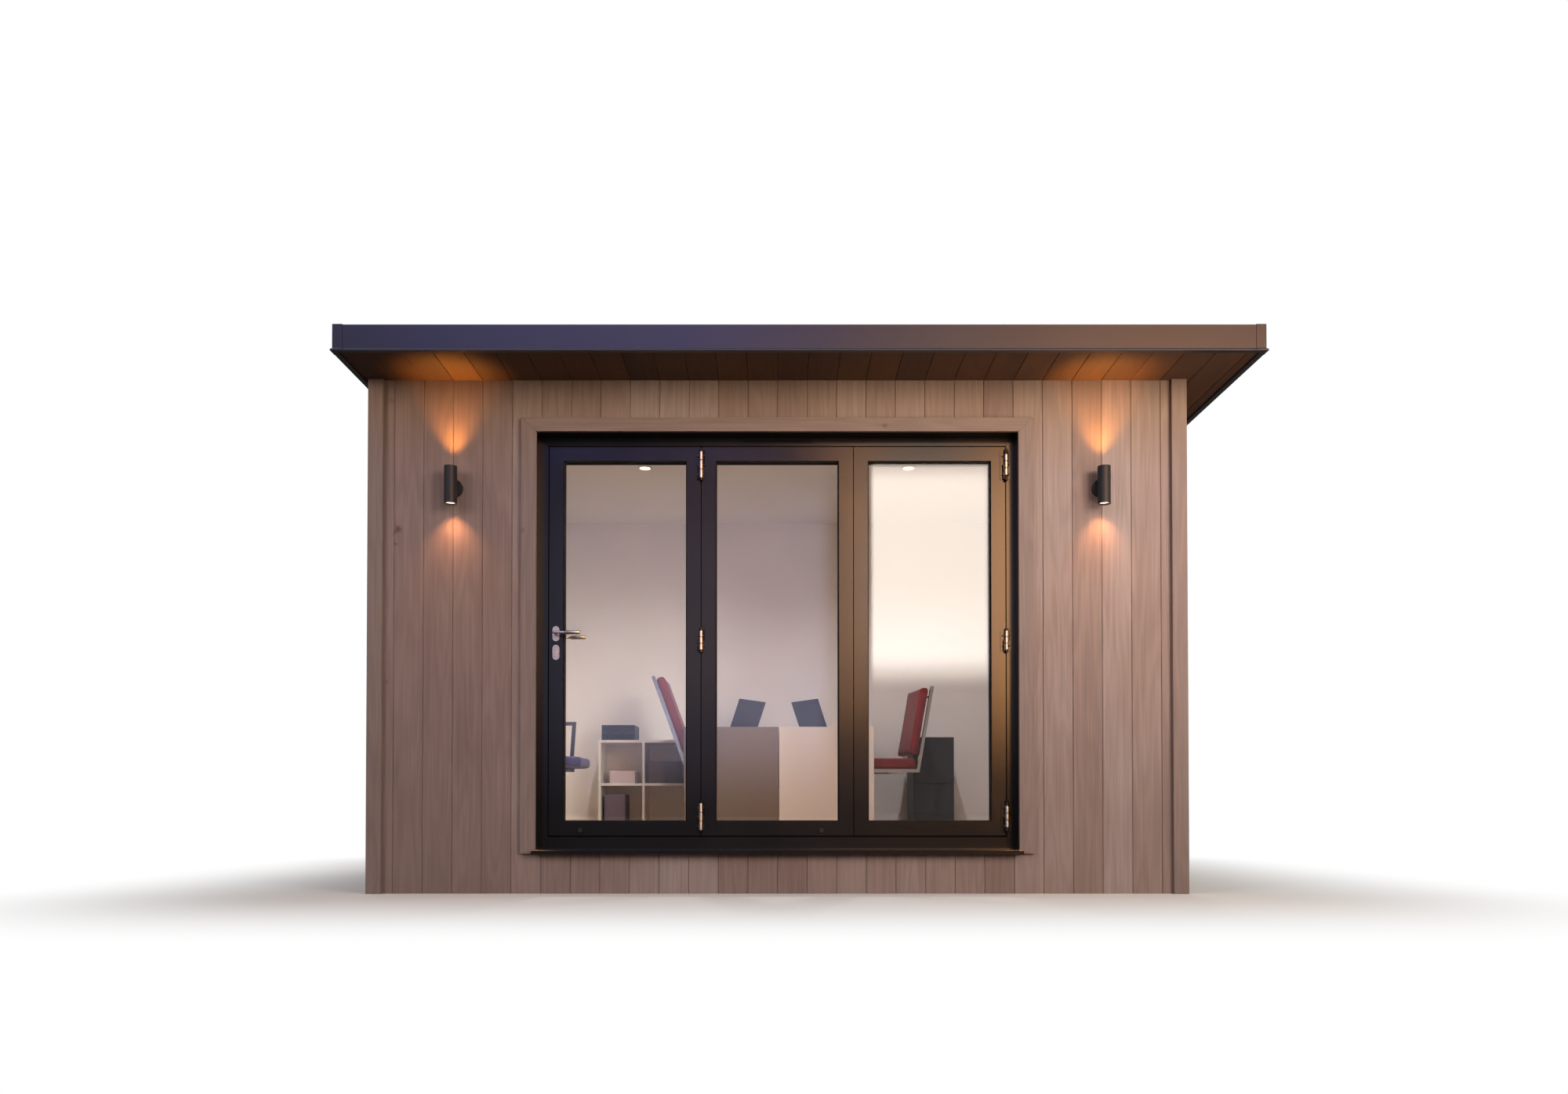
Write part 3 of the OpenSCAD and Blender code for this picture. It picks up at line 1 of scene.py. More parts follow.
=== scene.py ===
# %% [markdown]
# # A garden office pod, dressed for its portrait
# The solids of the pod come from CAD and are already in place. This script gives them their
# looks: it cuts the flat walls into boards, softens edges that a hand would find soft, stuffs
# the chair cushions, adds knuckles and screws, and paints every surface with a material built
# from nodes. Everything is in metres, with the door on the -Y side and the ground at Z = 0.

# %% Load the frame
import math
import random

import bmesh
import bpy
from mathutils import Matrix, Vector


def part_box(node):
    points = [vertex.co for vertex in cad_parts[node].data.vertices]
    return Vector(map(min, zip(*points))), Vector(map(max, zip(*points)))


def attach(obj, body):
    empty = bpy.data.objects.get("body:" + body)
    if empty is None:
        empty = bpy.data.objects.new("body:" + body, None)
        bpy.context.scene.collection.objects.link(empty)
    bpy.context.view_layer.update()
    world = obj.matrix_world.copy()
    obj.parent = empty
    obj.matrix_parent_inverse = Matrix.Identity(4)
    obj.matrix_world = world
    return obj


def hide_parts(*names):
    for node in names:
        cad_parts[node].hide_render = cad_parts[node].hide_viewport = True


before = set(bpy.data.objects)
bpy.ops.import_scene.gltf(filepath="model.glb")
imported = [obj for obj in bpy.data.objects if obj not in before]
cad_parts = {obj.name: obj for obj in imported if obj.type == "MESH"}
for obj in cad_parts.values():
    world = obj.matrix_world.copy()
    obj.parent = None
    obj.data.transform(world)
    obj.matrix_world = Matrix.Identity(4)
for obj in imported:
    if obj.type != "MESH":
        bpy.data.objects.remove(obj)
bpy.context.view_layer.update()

X, Y, Z = 0, 1, 2
SIDES = ((-1, "left"), (1, "right"))
scene = bpy.context.scene


# %% [markdown]
# ## Helpers for materials
# A material is a small network of nodes. Colours are picked from photographs as sRGB hex
# values, but light is added up in linear values, so one function turns the one into the
# other. A second function adds a node, sets it up and wires it in a single line. The others
# start a material, stretch a pattern, make a bump, mix two colours and fill a ramp.

# %% Colour and node helpers
def linear(colour):
    """A hex colour as linear red, green, blue and alpha."""
    parts = [int(colour[i:i + 2], 16) / 255 for i in (1, 3, 5)]
    return [c / 12.92 if c <= 0.04045 else ((c + 0.055) / 1.055) ** 2.4 for c in parts] + [1.0]


def add_node(tree, kind, inputs=None, out=0, **settings):
    """Adds a node, sets it up, links or fills its inputs, and returns one output."""
    node = tree.nodes.new("ShaderNode" + kind)
    for name, value in settings.items():
        setattr(node, name, value)
    for name, value in (inputs or {}).items():
        if isinstance(value, bpy.types.NodeSocket):
            tree.links.new(value, node.inputs[name])
        else:
            node.inputs[name].default_value = value
    return node.outputs[out]


def start_material(name, colour, roughness, **sockets):
    """A material, its tree, its shader with the plain values, and the place on the object."""
    material = bpy.data.materials.new(name)
    material.use_nodes = True
    tree = material.node_tree
    shader = tree.nodes["Principled BSDF"]
    values = {"Base Color": linear(colour), "Roughness": roughness, **sockets}
    for socket, value in values.items():
        shader.inputs[socket].default_value = value
    place = add_node(tree, "TexCoord", out="Object")
    return material, tree, shader, place


# A colour mix has its colours on inputs 6 and 7 and its result on output 2.
FIRST, SECOND, MIXED = 6, 7, 2


def stretched(tree, vector, sizes):
    """Coordinates divided by a pattern's size along X, Y and Z, in metres."""
    scale = [1 / size for size in sizes]
    return add_node(tree, "Mapping", {"Vector": vector, "Scale": scale})


def relief(tree, shader, height, depth):
    """Bump from a height of 0 to 1, as deep as the given metres."""
    bump = add_node(tree, "Bump", {"Height": height, "Distance": depth})
    tree.links.new(bump, shader.inputs["Normal"])


def tint(tree, shader, share, first, second):
    """Paints from the first colour to the second as the share goes from 0 to 1."""
    mixed = add_node(tree, "Mix", {
        "Factor": share, FIRST: linear(first), SECOND: linear(second)},
        data_type="RGBA", out=MIXED)
    tree.links.new(mixed, shader.inputs["Base Color"])


def set_stops(ramp, stops):
    """Gives a colour ramp its stops, each a position and a hex colour."""
    elements = ramp.node.color_ramp.elements
    while len(elements) < len(stops):
        elements.new(1.0)
    for element, (position, tone) in zip(elements, stops):
        element.position = position
        element.color = linear(tone)


print("linear mid grey:", [round(c, 3) for c in linear("#808080")])

# %% [markdown]
# ## Weathered timber
# The walls are planed softwood boards that have stood outdoors: sun and rain turn them from
# brown to a pinkish grey, each board at its own pace. Three things tell the eye that this is
# wood. The tone changes from board to board. Fine lines run along each board and arched
# figure runs through some. And the latewood stands a little proud, so light rakes over it.
#
# Noise that is stretched along the board gives the fine lines. Slices through a smoother
# noise, like contour lines on a map, give the arches. Each board carries a number between 0
# and 1, which picks its tone and moves its grain, so no two boards repeat.

# %% Timber material
GRAIN_WIDTH = 0.0032
GRAIN_LENGTH = 0.4
STREAK_WIDTH = 0.014
STREAK_LENGTH = 1.5
FIGURE_WIDTH = 0.09
FIGURE_LENGTH = 0.9
RINGS = 42
DRIFT_SIZE = 0.6
DRIFT_SHARE = 0.9
GRAIN_SHADE, STREAK_SHADE, FIGURE_SHADE = 0.16, 0.05, 0.07
BOARD_JUMP = (13.7, 9.1, 21.3)


def timber(name, along, tones, roughness=0.8, depth=0.0005, marks=(), sheltered_and_warm_lit=False):
    """Wood whose grain runs along one axis. Tones go from the darkest board to the palest."""
    material, tree, shader, place = start_material(name, tones[0], roughness)
    board = add_node(tree, "Attribute", attribute_name="board", out="Fac")
    jump = add_node(tree, "VectorMath", {0: BOARD_JUMP, "Scale": board}, operation="SCALE")
    moved = add_node(tree, "VectorMath", {0: place, 1: jump}, operation="ADD")

    def pattern(across, length, detail):
        sizes = [length if axis == along else across for axis in (X, Y, Z)]
        return add_node(tree, "TexNoise", {
            "Vector": stretched(tree, moved, sizes), "Scale": 1.0, "Detail": detail})

    lines = pattern(GRAIN_WIDTH, GRAIN_LENGTH, 3.0)
    streaks = pattern(STREAK_WIDTH, STREAK_LENGTH, 2.0)
    field = pattern(FIGURE_WIDTH, FIGURE_LENGTH, 1.0)
    drift = pattern(DRIFT_SIZE / 3, DRIFT_SIZE, 2.0)
    rings = add_node(tree, "Math", {0: field, 1: RINGS}, operation="MULTIPLY")
    arches = add_node(tree, "Math", {0: rings}, operation="SINE")

    pick = add_node(tree, "Math", {
        0: drift, 1: DRIFT_SHARE, 2: -DRIFT_SHARE / 2}, operation="MULTIPLY_ADD")
    pick = add_node(tree, "Math", {0: board, 1: pick}, operation="ADD", use_clamp=True)
    ramp = add_node(tree, "ValToRGB", {"Fac": pick})
    set_stops(ramp, [(i / (len(tones) - 1), tone) for i, tone in enumerate(tones)])

    shade = 1.0
    for wave, low, high, share in ((lines, 0.3, 0.7, GRAIN_SHADE),
                                   (streaks, 0.3, 0.7, STREAK_SHADE),
                                   (arches, -1, 1, FIGURE_SHADE)):
        part = add_node(tree, "MapRange", {
            "Value": wave, "From Min": low, "From Max": high,
            "To Min": 1 - share, "To Max": 1 + share / 2})
        shade = add_node(tree, "Math", {0: shade, 1: part}, operation="MULTIPLY")
    colour = add_node(tree, "VectorMath", {0: ramp, "Scale": shade}, operation="SCALE")

    colour = add_knots(tree, moved, colour, along)
    if sheltered_and_warm_lit:
        colour = add_shelter_and_warm_light(tree, place, colour)
    for centre, radius, tone, strength in marks:
        colour = add_mark(tree, place, colour, centre, radius, tone, strength)
    tree.links.new(colour, shader.inputs["Base Color"])
    height = add_node(tree, "Math", {0: arches, 1: 0.2, 2: lines}, operation="MULTIPLY_ADD")
    relief(tree, shader, height, depth)
    return material


# Heights over which the sheltered, browner wood and the painted warm light and shade of the eaves
# fade in.
SHELTER_AND_LIGHT_FOOT, SHELTER_AND_LIGHT_TOP = 2.0, 2.5


def add_shelter_and_warm_light(tree, place, colour):
    """Under the roof the boards keep more brown out of the weather, with painted warm light and
    shade.
    """
    height = add_node(tree, "SeparateXYZ", {0: place}, out="Z")
    dry_and_warm_lit = add_node(tree, "MapRange", {
        "Value": height, "From Min": SHELTER_AND_LIGHT_FOOT, "From Max": SHELTER_AND_LIGHT_TOP},
        interpolation_type="SMOOTHSTEP")
    # Painted warm light and shade: a warmer, slightly darker tint under the eaves, on top of the
    # browner sheltered wood.
    return add_node(tree, "Mix", {
        "Factor": dry_and_warm_lit, FIRST: colour, SECOND: linear("#faf0d8")},
        data_type="RGBA", blend_type="MULTIPLY", out=MIXED)


KNOT_SPACING = 0.42
KNOT_RADIUS = 0.010


def add_knots(tree, place, colour, along):
    """Small dark knots, at most one in each cell, a little longer than wide."""
    sizes = [KNOT_SPACING * (1.3 if axis == along else 1.0) for axis in (X, Y, Z)]
    cells = add_node(tree, "TexVoronoi", {"Vector": stretched(tree, place, sizes), "Scale": 1.0})
    knot = add_node(tree, "MapRange", {
        "Value": cells, "From Min": 0.4 * KNOT_RADIUS / KNOT_SPACING,
        "From Max": 1.6 * KNOT_RADIUS / KNOT_SPACING, "To Min": 0.5, "To Max": 0.0})
    return add_node(tree, "Mix", {
        "Factor": knot, FIRST: colour, SECOND: linear("#4b372b")}, data_type="RGBA", out=MIXED)


def add_mark(tree, place, colour, centre, radius, tone, strength):
    """A ragged mark on the wood at a point of the wall."""
    away = add_node(tree, "VectorMath", {0: place, 1: centre}, operation="DISTANCE", out="Value")
    rag = add_node(tree, "TexNoise", {"Vector": place, "Scale": 1.2 / radius, "Detail": 3.0})
    away = add_node(tree, "Math", {0: rag, 1: 2.2 * radius, 2: away}, operation="MULTIPLY_ADD")
    mask = add_node(tree, "MapRange", {
        "Value": away, "From Min": 1.3 * radius, "From Max": 2.0 * radius,
        "To Min": strength, "To Max": 0.0})
    return add_node(tree, "Mix", {
        "Factor": mask, FIRST: colour, SECOND: linear(tone)}, data_type="RGBA", out=MIXED)


# Two brown stains and a chip on the left boards, and a pale scrape on the right ones.
FRONT_MARKS = [
    ((-1.888, -1.48, 1.806), 0.030, "#4e3529", 0.8),
    ((-1.897, -1.48, 1.735), 0.016, "#54392c", 0.7),
    ((-1.935, -1.48, 1.05), 0.010, "#4e3b33", 0.6),
    ((1.243, -1.48, 1.205), 0.008, "#c9c2b8", 0.8),
]
WALL_TONES = ["#77615b", "#806a63", "#87716a", "#8f7c77"]
TRIM_TONES = ["#78655f", "#806c66"]
weathered_boards = timber("weathered_softwood_boards", Z, WALL_TONES, marks=FRONT_MARKS,
                          sheltered_and_warm_lit=True)
trim_upright = timber("weathered_softwood_upright_trim", Z, TRIM_TONES, sheltered_and_warm_lit=True)
trim_level = timber("weathered_softwood_level_trim", X, TRIM_TONES, sheltered_and_warm_lit=True)
# The soffit boards are dark brown, and their tones are darker still as painted shade for the
# shadow under the roof.
soffit_timber = timber("dark_softwood_soffit_with_painted_shade", Y, ["#422b20", "#4b3222", "#563823"],
                       roughness=0.7)
floor_timber = timber("oiled_oak_floor", X, ["#a07d54", "#b08d62", "#bb9a70"], roughness=0.42,
                      depth=0.0002)
print("timber materials:", weathered_boards.name, trim_upright.name, soffit_timber.name)

# %% [markdown]
# ## Laying boards
# A wall of matchboarding is a row of boards whose long edges are chamfered, so that each
# joint shows as a V with a dark line at its bottom. A cube is scaled to one board, and a
# bevel on the two long edges of its face makes half of each V. The chamfer is real geometry
# and not bump, because it catches light at the edges of the wall and casts its own shadow.

# %% Board tools
V_CHAMFER = 0.0028
JOINT_GAP = 0.001
BOARD_PITCH = 0.1465
NARROWEST = 0.004
TOUCH = 1e-6


def lay_board(mesh, low, high, length_axis, face_axis, face_side, chamfer, tone, sawn):
    """One board between two corners, with its long face edges chamfered, save a sawn one."""
    size = Vector(high) - Vector(low)
    made = bmesh.ops.create_cube(mesh, size=1.0)["verts"]
    bmesh.ops.scale(mesh, vec=size, verts=made)
    bmesh.ops.translate(mesh, vec=(Vector(low) + Vector(high)) / 2, verts=made)
    face = (high if face_side > 0 else low)[face_axis]
    long_edges = []
    for edge in dict.fromkeys(e for v in made for e in v.link_edges):
        run = edge.verts[1].co - edge.verts[0].co
        on_face = all(abs(v.co[face_axis] - face) < TOUCH for v in edge.verts)
        cut = any(abs(edge.verts[0].co[axis] - place) < TOUCH
                  for place in sawn for axis in (X, Y, Z) if axis not in (length_axis, face_axis))
        if on_face and not cut and abs(run[length_axis]) > 0.999 * run.length:
            long_edges.append(edge)
    bmesh.ops.bevel(mesh, geom=long_edges, offset=chamfer, segments=1, affect="EDGES",
                    profile=0.5, material=-1)
    number = mesh.verts.layers.float["board"]
    for vert in mesh.verts:
        if vert[number] == 0.0:
            vert[number] = tone


def board_cuts(start, end, joint, pitch):
    """Where boards begin and end between two places, with a joint on the given place."""
    cuts = [start]
    place = joint + math.ceil((start - joint) / pitch) * pitch
    while place < end - NARROWEST:
        if place > start + NARROWEST:
            cuts.append(place)
        place += pitch
    return cuts + [end]


def add_object(name, data):
    """An object of the scene from a mesh, a lamp or a camera."""
    made = bpy.data.objects.new(name, data)
    scene.collection.objects.link(made)
    return made


def add_mesh(name, mesh):
    """An object of the scene from a bmesh."""
    data = bpy.data.meshes.new(name)
    mesh.to_mesh(data)
    mesh.free()
    return add_object(name, data)


def new_piece(name, mesh, material, node_names):
    """Turns a bmesh into an object that rides on the pod and stands for CAD nodes."""
    piece = add_mesh(name, mesh)
    piece.data.materials.append(material)
    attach(piece, "root")
    if node_names:
        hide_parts(*node_names)
    return piece


def lay_boards(name, spans, across_axis, length_axis, face_axis, face_side, joint, material,
               node_names, pitch=BOARD_PITCH, chamfer=V_CHAMFER, sawn=()):
    """Boards over boxes that lie in one plane. Each keeps its tone where it is cut."""
    mesh = bmesh.new()
    mesh.verts.layers.float.new("board")
    count = 0
    for low, high in spans:
        cuts = board_cuts(low[across_axis], high[across_axis], joint, pitch)
        for a, b in zip(cuts, cuts[1:]):
            start, end = list(low), list(high)
            start[across_axis] = a + (JOINT_GAP / 2 if a > low[across_axis] else 0)
            end[across_axis] = b - (JOINT_GAP / 2 if b < high[across_axis] else 0)
            number = math.floor(((a + b) / 2 - joint) / pitch)
            tone = random.Random(f"{face_axis} {face_side} {number}").uniform(0.05, 0.95)
            lay_board(mesh, start, end, length_axis, face_axis, face_side, chamfer, tone, sawn)
            count += 1
    piece = new_piece(name, mesh, material, node_names)
    print(name, "boards:", count, "faces:", len(piece.data.polygons))


# %% [markdown]
# ## Wall boards
# The boards cover 146.5 mm each. On the front, one joint falls 106 mm in from the left end of
# the wall, and the boards over and under the door carry on with the same joints.

# %% Boards of the walls
FIRST_FRONT_BOARD = 0.1056
FIRST_SIDE_BOARD = 0.10

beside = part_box("cladding_beside_door")
FRONT_JOINT = beside[0].x + FIRST_FRONT_BOARD
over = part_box("cladding_over_door")
left_part = (beside[0], Vector((over[0].x, beside[1].y, beside[1].z)))
right_part = (Vector((over[1].x, beside[0].y, beside[0].z)), beside[1])
door_cuts = (over[0].x, over[1].x)
for part, spans in (("beside", [left_part, right_part]), ("over", [over]),
                    ("under", [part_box("cladding_under_door")])):
    lay_boards(f"front_boards_{part}_door", spans, X, Z, Y, -1, FRONT_JOINT, weathered_boards,
               [f"cladding_{part}_door"], sawn=door_cuts)
lay_boards("rear_boards", [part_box("cladding_rear")], X, Z, Y, 1, FRONT_JOINT, weathered_boards,
           ["cladding_rear"])
for facing, side in SIDES:
    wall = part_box("cladding_" + side)
    lay_boards(side + "_boards", [wall], Y, Z, X, facing, wall[0].y + FIRST_SIDE_BOARD,
               weathered_boards, ["cladding_" + side])

# %% [markdown]
# ## Soffit and floor boards
# Under the roof the boards run from front to back. Inside, the floor boards run across the
# room. Both are laid with the same tool, turned to another axis.

# %% Soffit and floor
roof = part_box("soffit_eaves")
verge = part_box("soffit_verges")
front_strip = (roof[0], Vector((roof[1].x, verge[0].y, roof[1].z)))
rear_strip = (Vector((roof[0].x, verge[1].y, roof[0].z)), roof[1])
lay_boards("eaves_soffit_boards", [front_strip, rear_strip], X, Y, Z, -1, FRONT_JOINT,
           soffit_timber, ["soffit_eaves"])
wall_x = beside[1].x
left_verge = (verge[0], Vector((-wall_x, verge[1].y, verge[1].z)))
right_verge = (Vector((wall_x, verge[0].y, verge[0].z)), verge[1])
lay_boards("verge_soffit_boards", [left_verge, right_verge], X, Y, Z, -1, FRONT_JOINT,
           soffit_timber, ["soffit_verges"])

FLOOR_PITCH = 0.125
JAMB_LAP = 0.007
floor_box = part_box("floor_finish")
room_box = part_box("skirting")
main_floor = (Vector((floor_box[0].x, room_box[0].y, floor_box[0].z)), floor_box[1])
door_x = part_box("door_frame_jambs")[1].x - JAMB_LAP
doorway = (Vector((-door_x, floor_box[0].y, floor_box[0].z)),
           Vector((door_x, room_box[0].y, floor_box[1].z)))
lay_boards("floor_boards", [main_floor, doorway], Y, X, Z, 1, 0.0, floor_timber, ["floor_finish"],
           pitch=FLOOR_PITCH, chamfer=0.001)

# %% [markdown]
# ## Softened edges
# No sawn or folded edge is knife sharp. A copy of the CAD mesh is merged, its flat triangles
# are joined, and its sharp edges get a small round. The round is what draws the thin light
# line along a trim or a folded metal edge.

# %% Edge tool
SHARP_ANGLE = math.radians(30)
TRIM_ROUND = 0.0015


def merged_copy(node):
    """The CAD node as one clean bmesh: doubles merged and flat triangles joined."""
    mesh = bmesh.new()
    mesh.from_mesh(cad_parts[node].data)
    bmesh.ops.remove_doubles(mesh, verts=mesh.verts, dist=1e-5)
    bmesh.ops.dissolve_limit(mesh, angle_limit=math.radians(1), verts=mesh.verts,
                             edges=mesh.edges)
    return mesh


def soften(name, node, width, material, segments=2, tones=None):
    """A copy of a CAD node with its sharp edges rounded. Tones number its separate pieces."""
    mesh = merged_copy(node)
    sharp = [e for e in mesh.edges if e.is_manifold and e.calc_face_angle(0.0) > SHARP_ANGLE]
    bmesh.ops.bevel(mesh, geom=sharp, offset=width, segments=segments, affect="EDGES", profile=0.5,
                    material=-1, clamp_overlap=True)
    number = mesh.verts.layers.float.new("board")
    for vert in mesh.verts:
        vert[number] = tones(vert.co) if tones else 0.5
    piece = new_piece(name, mesh, material, [node])
    print(name, "edges rounded:", len(sharp), "faces:", len(piece.data.polygons))


def tone_by_corner(place):
    """A tone for each corner trim, or for each side of the door."""
    return 0.35 + 0.3 * (place.x > 0) + 0.15 * (place.y > 0)


for name, node in (("corner_trim_boards", "corner_trims"),
                   ("door_side_trim_boards", "door_trim_sides")):
    soften(name, node, TRIM_ROUND, trim_upright, tones=tone_by_corner)
soften("door_head_trim_board", "door_trim_head", TRIM_ROUND, trim_level)

# %% [markdown]
# ## Powder-coated metal
# The door and the lights are aluminium with a baked powder coat. The powder flows into a
# satin film with a faint orange-peel texture about 2 mm across. On the lights it is matter
# than wet paint, so its specular level is low, and on the door it is smoother. The roof edge
# is folded steel with a coloured plastic coat. All show the eye a soft highlight whose edge
# is broken up, so noise drives the bump and a little of the roughness.

# %% Coated metal material
PEEL_SIZE = 0.0022
CLOUD_SIZE = 0.35
METAL_DUST = "#8d8478"


def coated_metal(name, colour, roughness, gloss=0.25, dusty=0.04):
    """A coated metal with orange peel, and a little dust in soft clouds."""
    material, tree, shader, place = start_material(name, colour, roughness, **{
        "Specular IOR Level": gloss})
    peel = add_node(tree, "TexNoise", {"Vector": place, "Scale": 1 / PEEL_SIZE, "Detail": 1.0})
    cloud = add_node(tree, "TexNoise", {
        "Vector": place, "Scale": 1 / CLOUD_SIZE, "Detail": 4.0, "Roughness": 0.6})
    haze = add_node(tree, "MapRange", {
        "Value": cloud, "From Min": 0.35, "From Max": 0.75, "To Min": 0.0, "To Max": dusty})
    tint(tree, shader, haze, colour, METAL_DUST)
    rough = add_node(tree, "MapRange", {
        "Value": cloud, "To Min": roughness - 0.03, "To Max": roughness + 0.05})
    tree.links.new(rough, shader.inputs["Roughness"])
    relief(tree, shader, peel, 0.00002)
    return material


frame_coat = coated_metal("powder_coated_aluminium", "#0a090b", 0.2, gloss=0.5, dusty=0.01)
lamp_coat = coated_metal("powder_coated_lamp_body", "#232226", 0.42)
edge_coat = coated_metal("plastic_coated_steel_edge", "#1f1f28", 0.32, gloss=0.5, dusty=0.01)
cabinet_coat = coated_metal("powder_coated_steel_cabinet", "#38363a", 0.5, dusty=0.0)
print("metal materials:", frame_coat.name, lamp_coat.name, edge_coat.name)

# %% [markdown]
# ## Folded roof edge
# The edge trim is one strip of steel folded over the kerb, down the face, out into a drip
# and back under the boards. A press folds steel round a small radius, so its edges are eased
# by 0.8 mm. Small covers, folded from the same steel, close the corners.

# %% Roof edge
for name, node in (("front_edge_trim", "fascia_front"), ("side_edge_trims", "fascia_sides"),
                   ("rear_edge_trim", "fascia_rear"), ("corner_covers", "fascia_corner_caps")):
    soften(name, node, 0.0008, edge_coat, segments=1)

# %% [markdown]
# ## Rubber
# Seals are moulded rubber: nearly black, with a low, even sheen. The roof sheet is rubber
# too, laid in one piece, and outdoors it greys and gathers dust in patches.

# %% Rubber materials
def rubber(name, colour, dust, grit_size, patchy):
    """Rubber with fine grit and patches of dust."""
    material, tree, shader, place = start_material(name, colour, 0.7)
    grit = add_node(tree, "TexNoise", {"Vector": place, "Scale": 1 / grit_size})
    patch = add_node(tree, "TexNoise", {"Vector": place, "Scale": 1.6, "Detail": 6.0})
    haze = add_node(tree, "MapRange", {
        "Value": patch, "From Min": 0.4, "From Max": 0.7, "To Min": 0.0, "To Max": patchy})
    tint(tree, shader, haze, colour, dust)
    relief(tree, shader, grit, 0.0002)
    return material


seal_rubber = rubber("moulded_rubber_seal", "#131314", "#3a3836", 0.002, 0.1)
roof_rubber = rubber("rubber_roof_sheet", "#2f3033", "#5f5b55", 0.004, 0.5)

# %% [markdown]
# ## Satin stainless steel and chrome
# The lever, its plates and the hinge knuckles are stainless steel, ground with a fine belt
# and left satin. The belt leaves hair lines, which stretch each highlight, so noise that
# is long in one direction drives the roughness. The chair bars are steel plated with chrome:
# a near mirror, dulled in soft patches where hands have been.

# %% Bright metal materials
def bright_metal(name, colour, smooth, rough, sizes, depth):
    """Bare metal whose roughness follows a noise of the given sizes."""
    material, tree, shader, place = start_material(name, colour, smooth, Metallic=1.0)
    pattern = add_node(tree, "TexNoise", {
        "Vector": stretched(tree, place, sizes), "Scale": 1.0, "Detail": 2.0})
    spread = add_node(tree, "MapRange", {
        "Value": pattern, "From Min": 0.3, "From Max": 0.7, "To Min": smooth, "To Max": rough})
    tree.links.new(spread, shader.inputs["Roughness"])
    relief(tree, shader, pattern, depth)
    return material


HAIR = 0.0006
HAIR_LENGTH = 0.03
HAIR_DEPTH = 0.00003
lever_steel = bright_metal("satin_stainless_lever", "#d9d2c6", 0.2, 0.42,
                           (HAIR_LENGTH, HAIR, HAIR), HAIR_DEPTH)
hinge_steel = bright_metal("satin_stainless_hinge_bar", "#e6e4e0", 0.25, 0.45,
                           (HAIR, HAIR, HAIR_LENGTH), HAIR_DEPTH)
chrome = bright_metal("chrome_plated_steel_bar", "#bdbbb9", 0.08, 0.2, (0.05, 0.05, 0.05), 0.0)

# %% [markdown]
# ## Glass
# Each leaf holds two sheets of float glass. A real pane lets sunlight through, so here shadow
# rays pass it untinted, and all other rays meet true glass that bends and reflects. Without
# that, the room behind would be dark and noisy.

# %% Glass material
pane_glass, tree, shader, _ = start_material("clear_float_glass", "#fdfdfc", 0.0, **{
    "Transmission Weight": 1.0, "IOR": 1.5})
clear = add_node(tree, "BsdfTransparent", {"Color": linear("#fbfbfa")})
shadow = add_node(tree, "LightPath", out="Is Shadow Ray")
passed = add_node(tree, "MixShader", {0: shadow, 1: shader.outputs[0], 2: clear})
tree.links.new(passed, tree.nodes["Material Output"].inputs["Surface"])
print("glass:", pane_glass.name)

# %% [markdown]
# ## Paint, board and plastic
# The room is lined with boards under white emulsion, which a roller leaves with a fine
# stipple. Skirting and lamp rims are smoother satin white. The desks and the shelf are
# chipboard faced with white melamine, pressed against a plate with a fine pearl. Gutter,
# downpipe, laptops and chair base are moulded plastic, whose grain comes from the mould.
# All of these are one colour, slightly uneven, under a fine stipple of their own size.

# %% Paint and plastic materials
def stippled(name, colour, roughness, stipple_size, depth, uneven=0.03):
    """Paint, plastic or stone with a fine stipple and an uneven tone."""
    material, tree, shader, place = start_material(name, colour, roughness)
    stipple = add_node(tree, "TexNoise", {
        "Vector": place, "Scale": 1 / stipple_size, "Detail": 2.0})
    cloud = add_node(tree, "TexNoise", {"Vector": place, "Scale": 2.5, "Detail": 4.0})
    tone = add_node(tree, "MapRange", {
        "Value": cloud, "From Min": 0.3, "From Max": 0.7,
        "To Min": 1 - uneven, "To Max": 1 + uneven})
    shaded = add_node(tree, "VectorMath", {
        0: linear(colour)[:3], "Scale": tone}, operation="SCALE")
    tree.links.new(shaded, shader.inputs["Base Color"])
    relief(tree, shader, stipple, depth)
    return material


wall_paint = stippled("white_emulsion_on_lining", "#f2efe9", 0.75, 0.003, 0.0001)
satin_paint = stippled("white_satin_paint", "#f1eee8", 0.4, 0.006, 0.00004)
melamine = stippled("white_melamine_board", "#eae5dc", 0.38, 0.0015, 0.00003, uneven=0.01)
laptop_plastic = stippled("dark_laptop_plastic", "#1d2230", 0.35, 0.0008, 0.00001)
base_plastic = stippled("black_nylon_chair_base", "#2b2a30", 0.45, 0.001, 0.00003)
gutter_plastic = stippled("black_moulded_plastic", "#242427", 0.38, 0.002, 0.00003)
cast_concrete = stippled("cast_concrete", "#9a9892", 0.9, 0.006, 0.0006, uneven=0.10)
panel_board = stippled("strand_board_panel", "#c2a878", 0.8, 0.012, 0.0004, uneven=0.15)

# %% [markdown]
# ## Lit lenses
# The lens at each end of a wall light is frosted and has a lamp behind it, so it glows.

# %% Lens material
warm_lens, tree, shader, place = start_material("frosted_lens_lit_warm", "#fff2dc", 0.35, **{
    "Emission Color": linear("#ffdcae"), "Emission Strength": 3.0})
frost = add_node(tree, "TexNoise", {"Vector": place, "Scale": 500.0})
relief(tree, shader, frost, 0.0002)
print("lens:", warm_lens.name)

# %% [markdown]
# ## Dressing the CAD nodes
# A little over half of the nodes keep their CAD mesh and only need a material.

